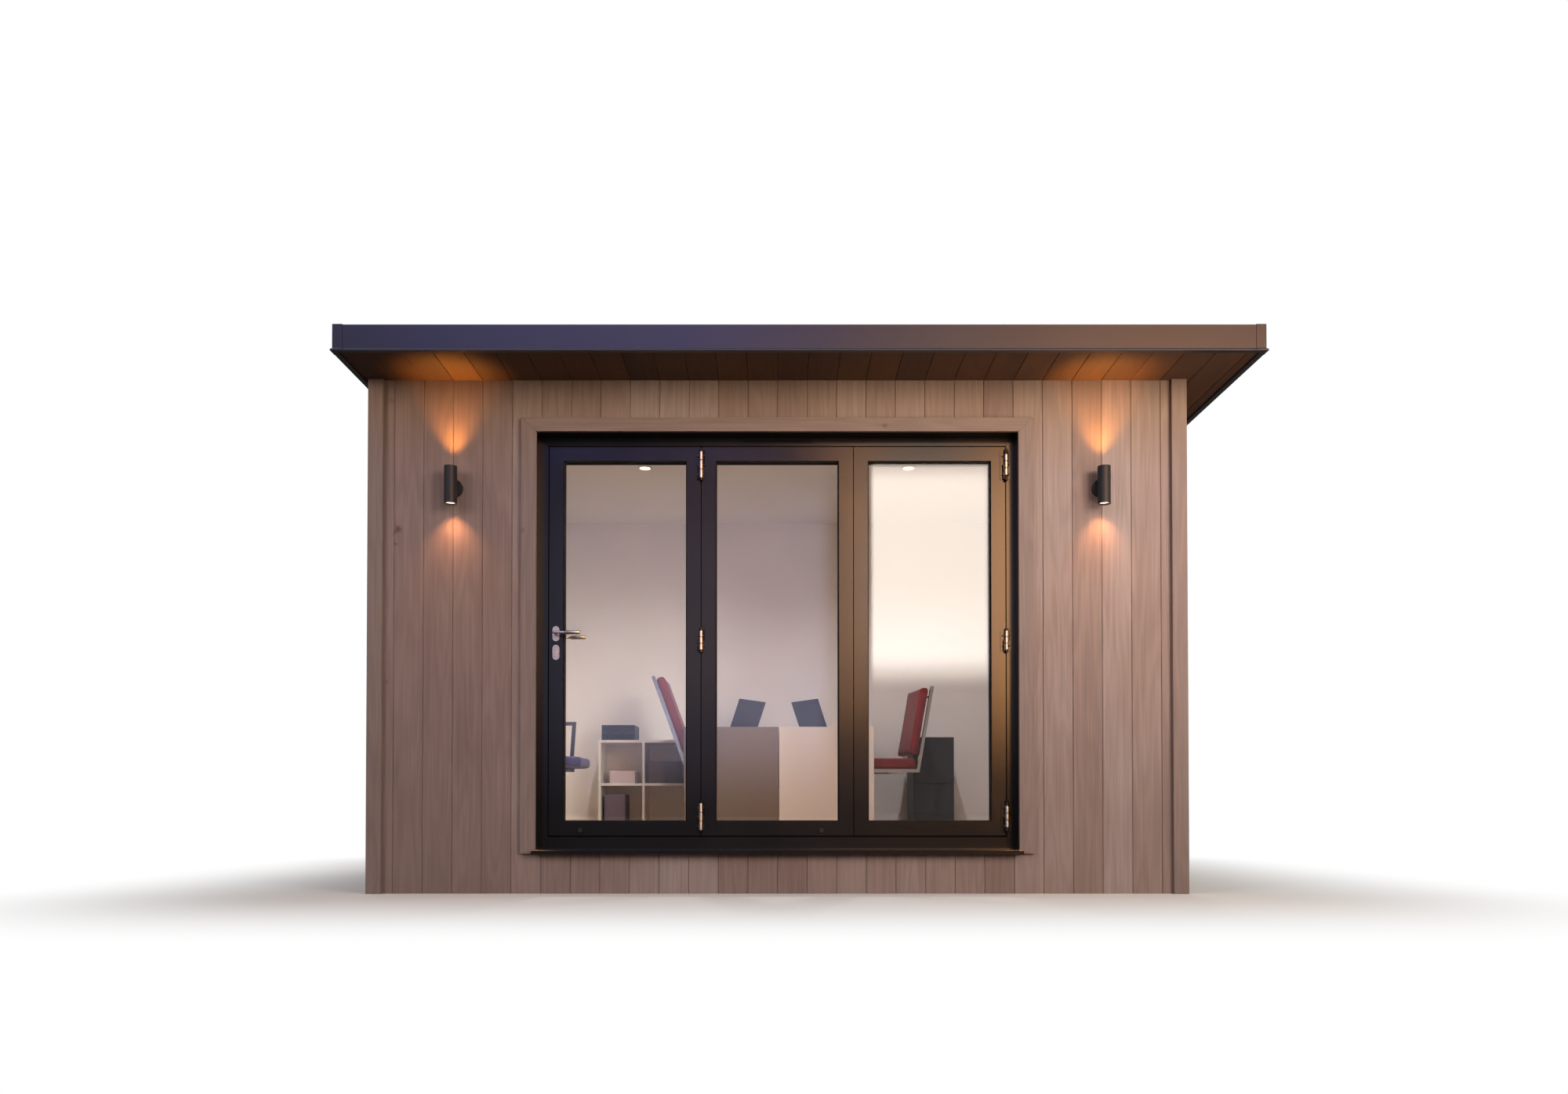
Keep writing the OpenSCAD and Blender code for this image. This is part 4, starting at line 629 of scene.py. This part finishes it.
# %% Dressing
dressing = (
    (cast_concrete, "base_slab"),
    (panel_board, "floor_cassette wall_left wall_right wall_rear front_wall_piers "
                  "front_wall_header front_wall_sill roof_deck"),
    (wall_paint, "room_lining"),
    (satin_paint, "skirting downlights"),
    (roof_rubber, "roof_membrane"),
    (frame_coat, "door_reveal door_frame_head door_frame_jambs door_threshold door_cill "
                 "door_leaf_1 door_leaf_2 door_leaf_3 hinge_plates"),
    (pane_glass, "door_glass"),
    (seal_rubber, "door_seals"),
    (lamp_coat, "wall_lights"),
    (warm_lens, "light_lenses"),
    (gutter_plastic, "rain_gutter downpipe"),
    (base_plastic, "swivel_chair_base"),
)
for material, nodes in dressing:
    for node in nodes.split():
        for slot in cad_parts[node].material_slots:
            slot.material = material
print("CAD nodes dressed:", sum(len(nodes.split()) for _, nodes in dressing))

# %% [markdown]
# ## Hinge knuckles
# A hinge of a folding door is three steel knuckles on one pin, with a dark nylon washer in
# each joint and a dark sleeve at each end. Turned parts are drawn as short cylinders whose
# rims are bevelled, so each knuckle keeps a bright line along it and a dark line at its ends.

# %% Hinge knuckles
KNUCKLES = 3
WASHER = 0.0025
SLEEVE = {"joint": 0.004, "jamb": 0.018}
SLEEVE_INSET = 0.0015
# A long hinge beyond this X hangs on the jamb.
JAMB_SIDE = 1.0
LONG_HINGE = 0.12


def islands(mesh):
    """A bmesh's separate pieces, each a list of its points."""
    left = set(mesh.verts)
    pieces = []
    while left:
        found = [left.pop()]
        for vert in found:
            for edge in vert.link_edges:
                other = edge.other_vert(vert)
                if other in left:
                    left.remove(other)
                    found.append(other)
        pieces.append(found)
    return sorted(pieces, key=lambda verts: min(tuple(v.co) for v in verts))


def turned(mesh, place, radius, low, high, bevel):
    """A short upright cylinder with bevelled rims."""
    made = bmesh.ops.create_cone(mesh, cap_ends=True, segments=24, radius1=radius, radius2=radius,
                                 depth=high - low)["verts"]
    bmesh.ops.translate(mesh, vec=(place.x, place.y, (low + high) / 2), verts=made)
    rims = [e for e in dict.fromkeys(e for v in made for e in v.link_edges)
            if abs(e.verts[0].co.z - e.verts[1].co.z) < TOUCH]
    bmesh.ops.bevel(mesh, geom=rims, offset=bevel, segments=2, affect="EDGES", profile=0.5,
                    material=-1)


def span(verts):
    """A piece's low and high corner."""
    return [Vector([pick(v.co[i] for v in verts) for i in range(3)]) for pick in (min, max)]


bars = merged_copy("hinge_knuckles")
steel, nylon = bmesh.new(), bmesh.new()
for verts in islands(bars):
    low, high = span(verts)
    middle, radius = (low + high) / 2, (high.x - low.x) / 2
    at_jamb = middle.x > JAMB_SIDE and high.z - low.z > LONG_HINGE
    sleeve = SLEEVE["jamb" if at_jamb else "joint"]
    start, end = low.z + sleeve, high.z - sleeve
    each = (end - start - (KNUCKLES - 1) * WASHER) / KNUCKLES
    turned(nylon, middle, radius - SLEEVE_INSET, low.z, high.z, 0.001)
    for i in range(KNUCKLES):
        foot = start + i * (each + WASHER)
        turned(steel, middle, radius, foot, foot + each, 0.0015)
bars.free()
new_piece("hinge_steel_knuckles", steel, hinge_steel, ["hinge_knuckles"])
new_piece("hinge_nylon_sleeves", nylon, lamp_coat, ["hinge_knuckles"])

# %% [markdown]
# ## Screws and bolt heads
# Countersunk screws hold each hinge plate, three on a long plate and two on a short one. Their
# blackened heads are 8 mm wide and stand only half a millimetre proud. The lever and its plates
# are steel, but the heads of the two shoot bolts at the foot of the leaves are coated black.

# %% Hinge screws and door furniture
SCREW_RADIUS = 0.004
SCREW_PROUD = 0.0005
NARROW_PLATE = 0.02
LEAF_MIDDLE_Y = -1.37

plates = merged_copy("hinge_plates")
screws = bmesh.new()
for verts in islands(plates):
    low, high = span(verts)
    if high.x - low.x < NARROW_PLATE:
        continue
    middle = (low + high) / 2
    out = -1 if middle.y < LEAF_MIDDLE_Y else 1
    face = low.y if out < 0 else high.y
    turn = Matrix.Rotation(math.radians(-90 * out), 4, "X")
    count = 3 if high.z - low.z > LONG_HINGE else 2
    for i in range(count):
        height = low.z + (high.z - low.z) * (i + 0.5) / count
        place = Matrix.Translation((middle.x, face + out * SCREW_PROUD / 2, height))
        bmesh.ops.create_cone(screws, cap_ends=True, segments=16, radius1=SCREW_RADIUS,
                              radius2=0.8 * SCREW_RADIUS, depth=SCREW_PROUD, matrix=place @ turn)
plates.free()
new_piece("hinge_screws", screws, lamp_coat, [])

BOLT_HEIGHT = 0.5
for name, material, kept in (("lever_and_plates", lever_steel, lambda v: v.co.z > BOLT_HEIGHT),
                             ("shoot_bolt_heads", lamp_coat, lambda v: v.co.z < BOLT_HEIGHT)):
    part = merged_copy("door_furniture")
    bmesh.ops.delete(part, geom=[v for v in part.verts if not kept(v)], context="VERTS")
    new_piece(name, part, material, ["door_furniture"])
    print(name, "made")

# %% [markdown]
# ## Furniture
# Two desks stand back to back with a laptop on each, and behind them a shelf and a drawer
# cabinet. Their edges are softened as the trims' were: a board's edge tape is rounded by a
# millimetre, a laptop's case by two, and a chair bar is a square tube with round corners.

# %% Desks, laptops, shelf and cabinet
DESK_JOINT = sum(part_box("desks")[i].x for i in (0, 1)) / 2
TRAY_SLACK = 0.002

desk_board, tree, shader, place = start_material("melamine_board_grey_and_white", "#eae5dc", 0.38)
hand = add_node(tree, "Attribute", attribute_name="board", out="Fac")
pearl = add_node(tree, "TexNoise", {"Vector": place, "Scale": 700.0, "Detail": 2.0})
tint(tree, shader, hand, "#7c7066", "#eae5dc")
relief(tree, shader, pearl, 0.00003)
soften("desk_boards", "desks", 0.001, desk_board,
       tones=lambda place: float(place.x > DESK_JOINT))
soften("shelf_boards", "cube_shelf", 0.001, melamine)
soften("laptop_cases", "laptops", 0.002, laptop_plastic)
soften("drawer_cabinet_case", "drawer_cabinet", 0.0015, cabinet_coat)
soften("chair_bars", "chair_frames", 0.004, chrome, segments=3)


def box_tone(place):
    """Picks a card colour by where a box stands: tray, upper, left or right box."""
    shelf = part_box("cube_shelf")
    left = place.x < (shelf[0].x + shelf[1].x) / 2
    upper = place.z > (shelf[0].z + shelf[1].z) / 2
    if place.z > shelf[1].z - TRAY_SLACK:
        return 0.1
    return (0.9 if upper else 0.4) if left else 0.65


card, tree, shader, place = start_material("storage_box_card", "#3a3338", 0.7)
number = add_node(tree, "Attribute", attribute_name="board", out="Fac")
ramp = add_node(tree, "ValToRGB", {"Fac": number})
ramp.node.color_ramp.interpolation = "CONSTANT"
card_tones = ((0.0, "#3d3a3c"), (0.3, "#6d6170"), (0.55, "#54493f"), (0.8, "#cdbfbd"))
set_stops(ramp, card_tones)
fibre = add_node(tree, "TexNoise", {"Vector": place, "Scale": 400.0, "Detail": 3.0})
faded = add_node(tree, "MapRange", {"Value": fibre, "To Min": 0.92, "To Max": 1.08})
shaded = add_node(tree, "VectorMath", {0: ramp, "Scale": faded}, operation="SCALE")
tree.links.new(shaded, shader.inputs["Base Color"])
relief(tree, shader, fibre, 0.0001)
soften("storage_boxes", "shelf_boxes", 0.0008, card, segments=1, tones=box_tone)

# %% [markdown]
# ## Leather and woven cloth
# The high-backed chairs are covered in red leather. Its pebbles are cells about 1.5 mm wide
# with soft creases between them, so the distance to the nearest cell edge makes the bump, and
# a slow noise makes some patches shinier from wear. The swivel chair has a woven blue cloth:
# waves that cross on each face make the threads. Real threads are under a millimetre, too
# fine for this picture, so they are drawn 2 mm wide.

# %% Upholstery materials
PEBBLE_SIZE = 0.0016
THREAD_SIZE = 0.002
# A wave texture of scale 1 repeats at this many metres.
WAVE_AT_ONE = 0.314

red_leather, tree, shader, place = start_material("red_grained_leather", "#7c2229", 0.42, **{
    "Specular IOR Level": 0.45})
pebbles = add_node(tree, "TexVoronoi", {
    "Vector": place, "Scale": 1 / PEBBLE_SIZE}, feature="DISTANCE_TO_EDGE")
worn = add_node(tree, "TexNoise", {"Vector": place, "Scale": 14.0, "Detail": 4.0})
gloss = add_node(tree, "MapRange", {"Value": worn, "To Min": 0.32, "To Max": 0.55})
tree.links.new(gloss, shader.inputs["Roughness"])
tint(tree, shader, worn, "#6a1b22", "#8f2b31")
relief(tree, shader, pebbles, 0.0003)

blue_cloth, tree, shader, place = start_material("blue_woven_cloth", "#3a3a78", 0.85, **{
    "Sheen Weight": 0.3})
threads = [add_node(tree, "TexWave", {
    "Vector": place, "Scale": WAVE_AT_ONE / THREAD_SIZE}, bands_direction=axis, out="Fac")
    for axis in ("X", "Y", "Z")]
weave = add_node(tree, "Math", {0: threads[0], 1: threads[1]}, operation="MAXIMUM")
weave = add_node(tree, "Math", {0: weave, 1: threads[2]}, operation="MULTIPLY")
tint(tree, shader, weave, "#2d2c62", "#4d4d94")
relief(tree, shader, weave, 0.0004)
print("upholstery:", red_leather.name, blue_cloth.name)

# %% [markdown]
# ## Stuffed cushions
# A cushion is a bag of leather or cloth, cut flat, sewn and filled until it bulges. So the
# plain CAD block is shrunk a little, remeshed into small even squares and blown up by a cloth
# simulation: the faces crown, and the sides pull in between the corners. A cap keeps each
# point near its start, as a firm filling does. The seams come last: along each long edge,
# where the panels meet, the surface is drawn in by the thread.

# %% Cushion tool
SHRINK = 0.007
VOXEL = 0.006
FRAMES = 20
PRESSURE = 4.0
SEAM_REACH = 0.009
SEAM_DEPTH = 0.003


def own_axes(verts):
    """A piece's centre, axes and half sizes, read from the edges at a corner."""
    corner = min(verts, key=lambda v: (round(v.co.x, 4), round(v.co.y, 4), round(v.co.z, 4)))
    runs = [edge.other_vert(corner).co - corner.co for edge in corner.link_edges]
    axes = [run.normalized() for run in runs]
    square = len(runs) == 3 and all(abs(axes[i].dot(axes[i - 1])) < 0.01 for i in range(3))
    if not square or len(verts) != 8:
        axes = [Vector((1, 0, 0)), Vector((0, 1, 0)), Vector((0, 0, 1))]
    spans = [[v.co.dot(axis) for v in verts] for axis in axes]
    half = [(max(span) - min(span)) / 2 for span in spans]
    centre = sum((axis * (max(span) + min(span)) / 2 for axis, span in zip(axes, spans)), Vector())
    return centre, axes, half


def stuff(name, verts, material, node, cap):
    """One cushion: the CAD block, shrunk, remeshed, blown up and seamed."""
    centre, axes, half = own_axes(verts)
    hull = bmesh.new()
    bmesh.ops.convex_hull(hull, input=[hull.verts.new(v.co) for v in verts])
    for vert in hull.verts:
        local = [(vert.co - centre).dot(axis) for axis in axes]
        vert.co = centre + sum((axis * part * (1 - SHRINK / size)
                                for axis, part, size in zip(axes, local, half)), Vector())
    piece = new_piece(name, hull, material, [node])
    remesh = piece.modifiers.new("even_squares", "REMESH")
    remesh.mode = "VOXEL"
    remesh.voxel_size = VOXEL
    apply_modifiers(piece)
    start = [v.co.copy() for v in piece.data.vertices]
    cloth = piece.modifiers.new("stuffing", "CLOTH")
    cloth.settings.use_pressure = True
    cloth.settings.uniform_pressure_force = PRESSURE
    cloth.settings.effector_weights.gravity = 0.0
    for step in range(1, FRAMES + 1):
        scene.frame_set(step)
    apply_modifiers(piece)
    scene.frame_set(1)
    thin = half.index(min(half))
    wide = [i for i in range(3) if i != thin]
    for vert, old in zip(piece.data.vertices, start):
        move = vert.co - old
        vert.co = old + move * min(1.0, cap / max(move.length, 1e-9))
        local = [(old - centre).dot(axis) for axis in axes]
        edge_gap = min(half[i] - SHRINK - abs(local[i]) for i in wide)
        face_gap = half[thin] - SHRINK - abs(local[thin])
        away = math.hypot(max(edge_gap, 0.0), max(face_gap, 0.0))
        if away < SEAM_REACH:
            vert.co -= (vert.co - centre).normalized() * SEAM_DEPTH * (1 - away / SEAM_REACH)
    for polygon in piece.data.polygons:
        polygon.use_smooth = True
    smooth = piece.modifiers.new("smooth_skin", "SUBSURF")
    smooth.levels = smooth.render_levels = 1
    print(name, "points:", len(piece.data.vertices), "half sizes:", [round(h, 3) for h in half])


def apply_modifiers(piece):
    """Makes the mesh what its modifiers show, and takes them off."""
    graph = bpy.context.evaluated_depsgraph_get()
    seen = bpy.data.meshes.new_from_object(piece.evaluated_get(graph))
    piece.modifiers.clear()
    piece.data = seen


# %% Cushions
for node, covering, slot, cap in (("chair_cushions", red_leather, "red_upholstery", 0.009),
                                  ("swivel_chair_pads", blue_cloth, "blue_upholstery", 0.010)):
    blocks = merged_copy(node)
    for i, verts in enumerate(islands(blocks)):
        stuff(f"{node}_{i + 1}", verts, covering, node, cap)
    blocks.free()

# %% [markdown]
# ## Studio
# The pod stands on a plain pale floor that fades to white, under a white sky that gives even
# light. A large soft lamp at the right gives the warm side of the picture and a weaker,
# cooler one at the left opens the shadows. A small low one lifts the boards under the roof
# edge, and one behind the pod lights its back. The pod's own lights are on: each lens has a
# small warm spot lamp in it, which draws the cones on the boards.

# %% Floor and sky
FLOOR_REACH = 60.0
FOOTPRINT = (2.0, 1.5, 0.0)
FADE_START = 0.1
FADE_END = 2.0
SKY_LEVEL = 0.55
MIRRORED_HORIZON, MIRRORED_ZENITH = 0.12, 1.6

floor_mesh = bmesh.new()
bmesh.ops.create_grid(floor_mesh, x_segments=1, y_segments=1, size=FLOOR_REACH)
floor = add_mesh("studio_floor", floor_mesh)


def seen_directly(tree):
    """1 for what the camera sees itself, 0 for what only lights or mirrors."""
    return add_node(tree, "LightPath", out="Is Camera Ray")


def seen_in_mirrors(tree):
    """1 for what a glossy surface mirrors, 0 for everything else."""
    return add_node(tree, "LightPath", out="Is Glossy Ray")


pale, tree, shader, place = start_material("pale_studio_floor", "#c9c7c3", 0.9)
tint(tree, shader, seen_directly(tree), "#5c5a57", "#d6d4d0")
outside = add_node(tree, "VectorMath", {0: place}, operation="ABSOLUTE")
for limit, operation in ((FOOTPRINT, "SUBTRACT"), ((0, 0, 0), "MAXIMUM")):
    outside = add_node(tree, "VectorMath", {0: outside, 1: limit}, operation=operation)
away = add_node(tree, "VectorMath", {0: outside}, operation="LENGTH", out="Value")
fade = add_node(tree, "MapRange", {
    "Value": away, "From Min": FADE_START, "From Max": FADE_END}, interpolation_type="SMOOTHSTEP")
share = add_node(tree, "Math", {0: fade, 1: seen_directly(tree)}, operation="MULTIPLY")
white = add_node(tree, "Emission", {"Color": (1, 1, 1, 1), "Strength": 1.0})
mixed = add_node(tree, "MixShader", {0: share, 1: shader.outputs[0], 2: white})
tree.links.new(mixed, tree.nodes["Material Output"].inputs["Surface"])
floor.data.materials.append(pale)

world = bpy.data.worlds.new("white_studio")
scene.world = world
world.use_nodes = True
tree = world.node_tree
lighting = tree.nodes["Background"]
lighting.inputs["Color"].default_value = linear("#f6f4f6")
heading = add_node(tree, "TexCoord", out="Generated")
upwards = add_node(tree, "SeparateXYZ", {0: heading}, out="Z")
mirrored = add_node(tree, "MapRange", {
    "Value": upwards, "From Min": 0.5, "From Max": 0.9,
    "To Min": MIRRORED_HORIZON, "To Max": MIRRORED_ZENITH})
sky = add_node(tree, "MapRange", {
    "Value": seen_in_mirrors(tree), "To Min": SKY_LEVEL, "To Max": mirrored})
tree.links.new(sky, lighting.inputs["Strength"])
backdrop = add_node(tree, "Background", {"Color": (1, 1, 1, 1), "Strength": 1.0})
mixed = add_node(tree, "MixShader", {0: seen_directly(tree), 1: lighting.outputs[0], 2: backdrop})
tree.links.new(mixed, tree.nodes["World Output"].inputs["Surface"])

# %% Lamps
def add_lamp(kind, name, place, target, watts, colour, **settings):
    """A lamp that points at a place. The camera never sees it, not even through glass."""
    data = bpy.data.lights.new(name, kind)
    data.energy = watts
    data.color = linear(colour)[:3]
    for key, value in settings.items():
        setattr(data, key, value)
    lamp = add_object(name, data)
    lamp.location = place
    lamp.rotation_euler = (Vector(target) - Vector(place)).to_track_quat("-Z", "Y").to_euler()
    lamp.visible_camera = lamp.visible_transmission = False
    return lamp


SOFT_SPREAD = math.radians(82)
for name, place, target, watts, colour, size in (
        ("key_box", (5.0, -7.0, 3.2), (1.5, -1.4, 2.7), 131, "#f1ede2", 3.0),
        ("fill_box", (-7.0, -7.0, 4.0), (-1.2, -1.4, 2.7), 83, "#f4eef2", 4.0),
        ("bounce_box", (3.0, -3.6, 0.3), (1.7, -1.6, 2.7), 30, "#ffeedd", 2.0),
        ("rear_box", (2.5, 8.5, 4.5), (0.0, 1.4, 1.8), 95, "#fff6ee", 4.0)):
    lamp = add_lamp("AREA", name, place, target, watts, colour, size=size, spread=SOFT_SPREAD)
    lamp.visible_glossy = False

# From a wall light's outer corner to the axis of its tube, and from its rim to its lamp.
TUBE_INSET = (0.044, 0.0315)
LENS_DEPTH = 0.004
tube_low, tube_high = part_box("wall_lights")
for side, hand in SIDES:
    for up, end, out, watts, colour, angle in ((-1, "down", 0.10, 9.0, "#ffb478", 100),
                                               (1, "up", 0.0, 25.0, "#ffac4a", 78)):
        rim = tube_high.z if up > 0 else tube_low.z
        start = Vector((side * (tube_high.x - TUBE_INSET[0]), tube_low.y + TUBE_INSET[1],
                        rim - up * LENS_DEPTH))
        add_lamp("SPOT", f"wall_lamp_{hand}_{end}", start, start + Vector((0, out, up)), watts,
                 colour, spot_size=math.radians(angle), spot_blend=1.0, shadow_soft_size=0.02)

DOWNLIGHT_INSET = 0.043
DOWNLIGHT_DROP = 0.01
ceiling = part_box("downlights")
for side, hand in SIDES:
    start = Vector((side * (ceiling[1].x - DOWNLIGHT_INSET), (ceiling[0].y + ceiling[1].y) / 2,
                    ceiling[0].z - DOWNLIGHT_DROP))
    lamp = add_lamp("SPOT", f"downlight_lamp_{hand}", start, start - Vector((0, 0, 1)), 71.0,
                    "#f8f4ff", spot_size=math.radians(150), spot_blend=0.9, shadow_soft_size=0.03)
    lamp.visible_glossy = False

# %% [markdown]
# ## Reflection cards
# A photographer brings out a dark satin frame and a pane of glass by letting them mirror
# something bright. Cards stand behind the camera. A pale one fills the upper part of the right
# pane, a dim cool one veils the other two, and warm ones, wide at the right and narrow where
# only a stile mirrors them, give the frames their bronze sheen. Two high cards, cool at the
# left and warm at the right, do the same for the roof edge. Only mirrored rays see them, so
# they light nothing, and they fade at their edges as a lamp behind a scrim does. Black flags
# at the front corners and above the roof edge hide them from the sides and from the roof.

# %% Cards
CARD_Y = -9.0


def add_card(name, x_span, z_span, colour, strength, edges, at=CARD_Y):
    """An upright card that only shows in reflections."""
    middle = Vector((sum(x_span) / 2, at, sum(z_span) / 2))
    half = ((x_span[1] - x_span[0]) / 2, (z_span[1] - z_span[0]) / 2)
    mesh = bmesh.new()
    bmesh.ops.create_grid(mesh, x_segments=1, y_segments=1, size=1.0)
    bmesh.ops.scale(mesh, vec=(*half, 1.0), verts=mesh.verts)
    bmesh.ops.rotate(mesh, cent=(0, 0, 0), verts=mesh.verts,
                     matrix=Matrix.Rotation(math.radians(90), 3, "X"))
    bmesh.ops.translate(mesh, vec=middle, verts=mesh.verts)
    card = add_mesh(name, mesh)
    for kind in ("camera", "diffuse", "shadow"):
        setattr(card, "visible_" + kind, False)
    material, tree, _, place = start_material(name + "_glow", "#000000", 1.0)
    local = add_node(tree, "VectorMath", {0: place, 1: middle}, operation="SUBTRACT")
    away = add_node(tree, "VectorMath", {0: local}, operation="ABSOLUTE")
    sides = add_node(tree, "SeparateXYZ", {0: away})
    level = strength
    for axis, reach, edge in (("X", half[0], edges[0]), ("Z", half[1], edges[1])):
        fall = add_node(tree, "MapRange", {
            "Value": sides.node.outputs[axis], "From Min": reach - edge, "From Max": reach,
            "To Min": 1.0, "To Max": 0.0}, interpolation_type="SMOOTHSTEP")
        level = add_node(tree, "Math", {0: level, 1: fall}, operation="MULTIPLY")
    light = add_node(tree, "Emission", {"Color": linear(colour), "Strength": level})
    tree.links.new(light, tree.nodes["Material Output"].inputs["Surface"])
    card.data.materials.append(material)


add_card("pale_card", (1.12, 2.6), (1.8, 4.8), "#fff4ea", 5.5, (0.08, 0.5))
add_card("cool_card", (-3.2, 0.75), (0.3, 4.8), "#d8d8ff", 0.95, (0.3, 1.3))
add_card("warm_card", (2.58, 6.5), (1.1, 5.1), "#ffb066", 17.0, (0.2, 0.6))
add_card("warm_strip_right", (0.75, 1.13), (1.1, 5.3), "#ffb066", 17.0, (0.08, 0.8))
add_card("warm_strip_left", (-1.04, -0.84), (1.1, 5.3), "#ffb066", 4.0, (0.05, 0.8))
add_card("high_warm_card", (0.5, 6.0), (5.3, 7.2), "#ffa350", 2.8, (1.2, 0.4))
add_card("high_cool_card", (-5.9, 2.0), (5.3, 7.2), "#a09cff", 5.8, (2.5, 0.4))

FLAG_Y = -1.85
for hand, x_span in (("left", (-9.0, -2.1)), ("right", (2.3, 9.0))):
    add_card(hand + "_flag", x_span, (0.0, 3.5), "#000000", 0.0, (0.1, 0.1), at=FLAG_Y)
add_card("roof_flag", (-2.1, 2.3), (2.69, 6.5), "#000000", 0.0, (0.01, 0.01), at=FLAG_Y)

# %% [markdown]
# ## Camera
# The photographer stood square to the front, 5.4 m from the trims, and held a wide lens only
# 435 mm above the ground. The lens is tipped up by less than a degree and shifted up, as a
# shift lens does, so that verticals stay upright.

# %% Camera
camera_data = bpy.data.cameras.new("photo_camera")
camera_data.lens = 25.14
camera_data.sensor_width = 36.0
camera_data.shift_x = 0.006
camera_data.shift_y = 0.1547
camera = add_object("photo_camera", camera_data)
camera.location = (-0.0136, -6.9, 0.435)
camera.rotation_euler = (math.radians(90.85), 0, 0)
scene.camera = camera
scene.view_settings.view_transform = "Standard"
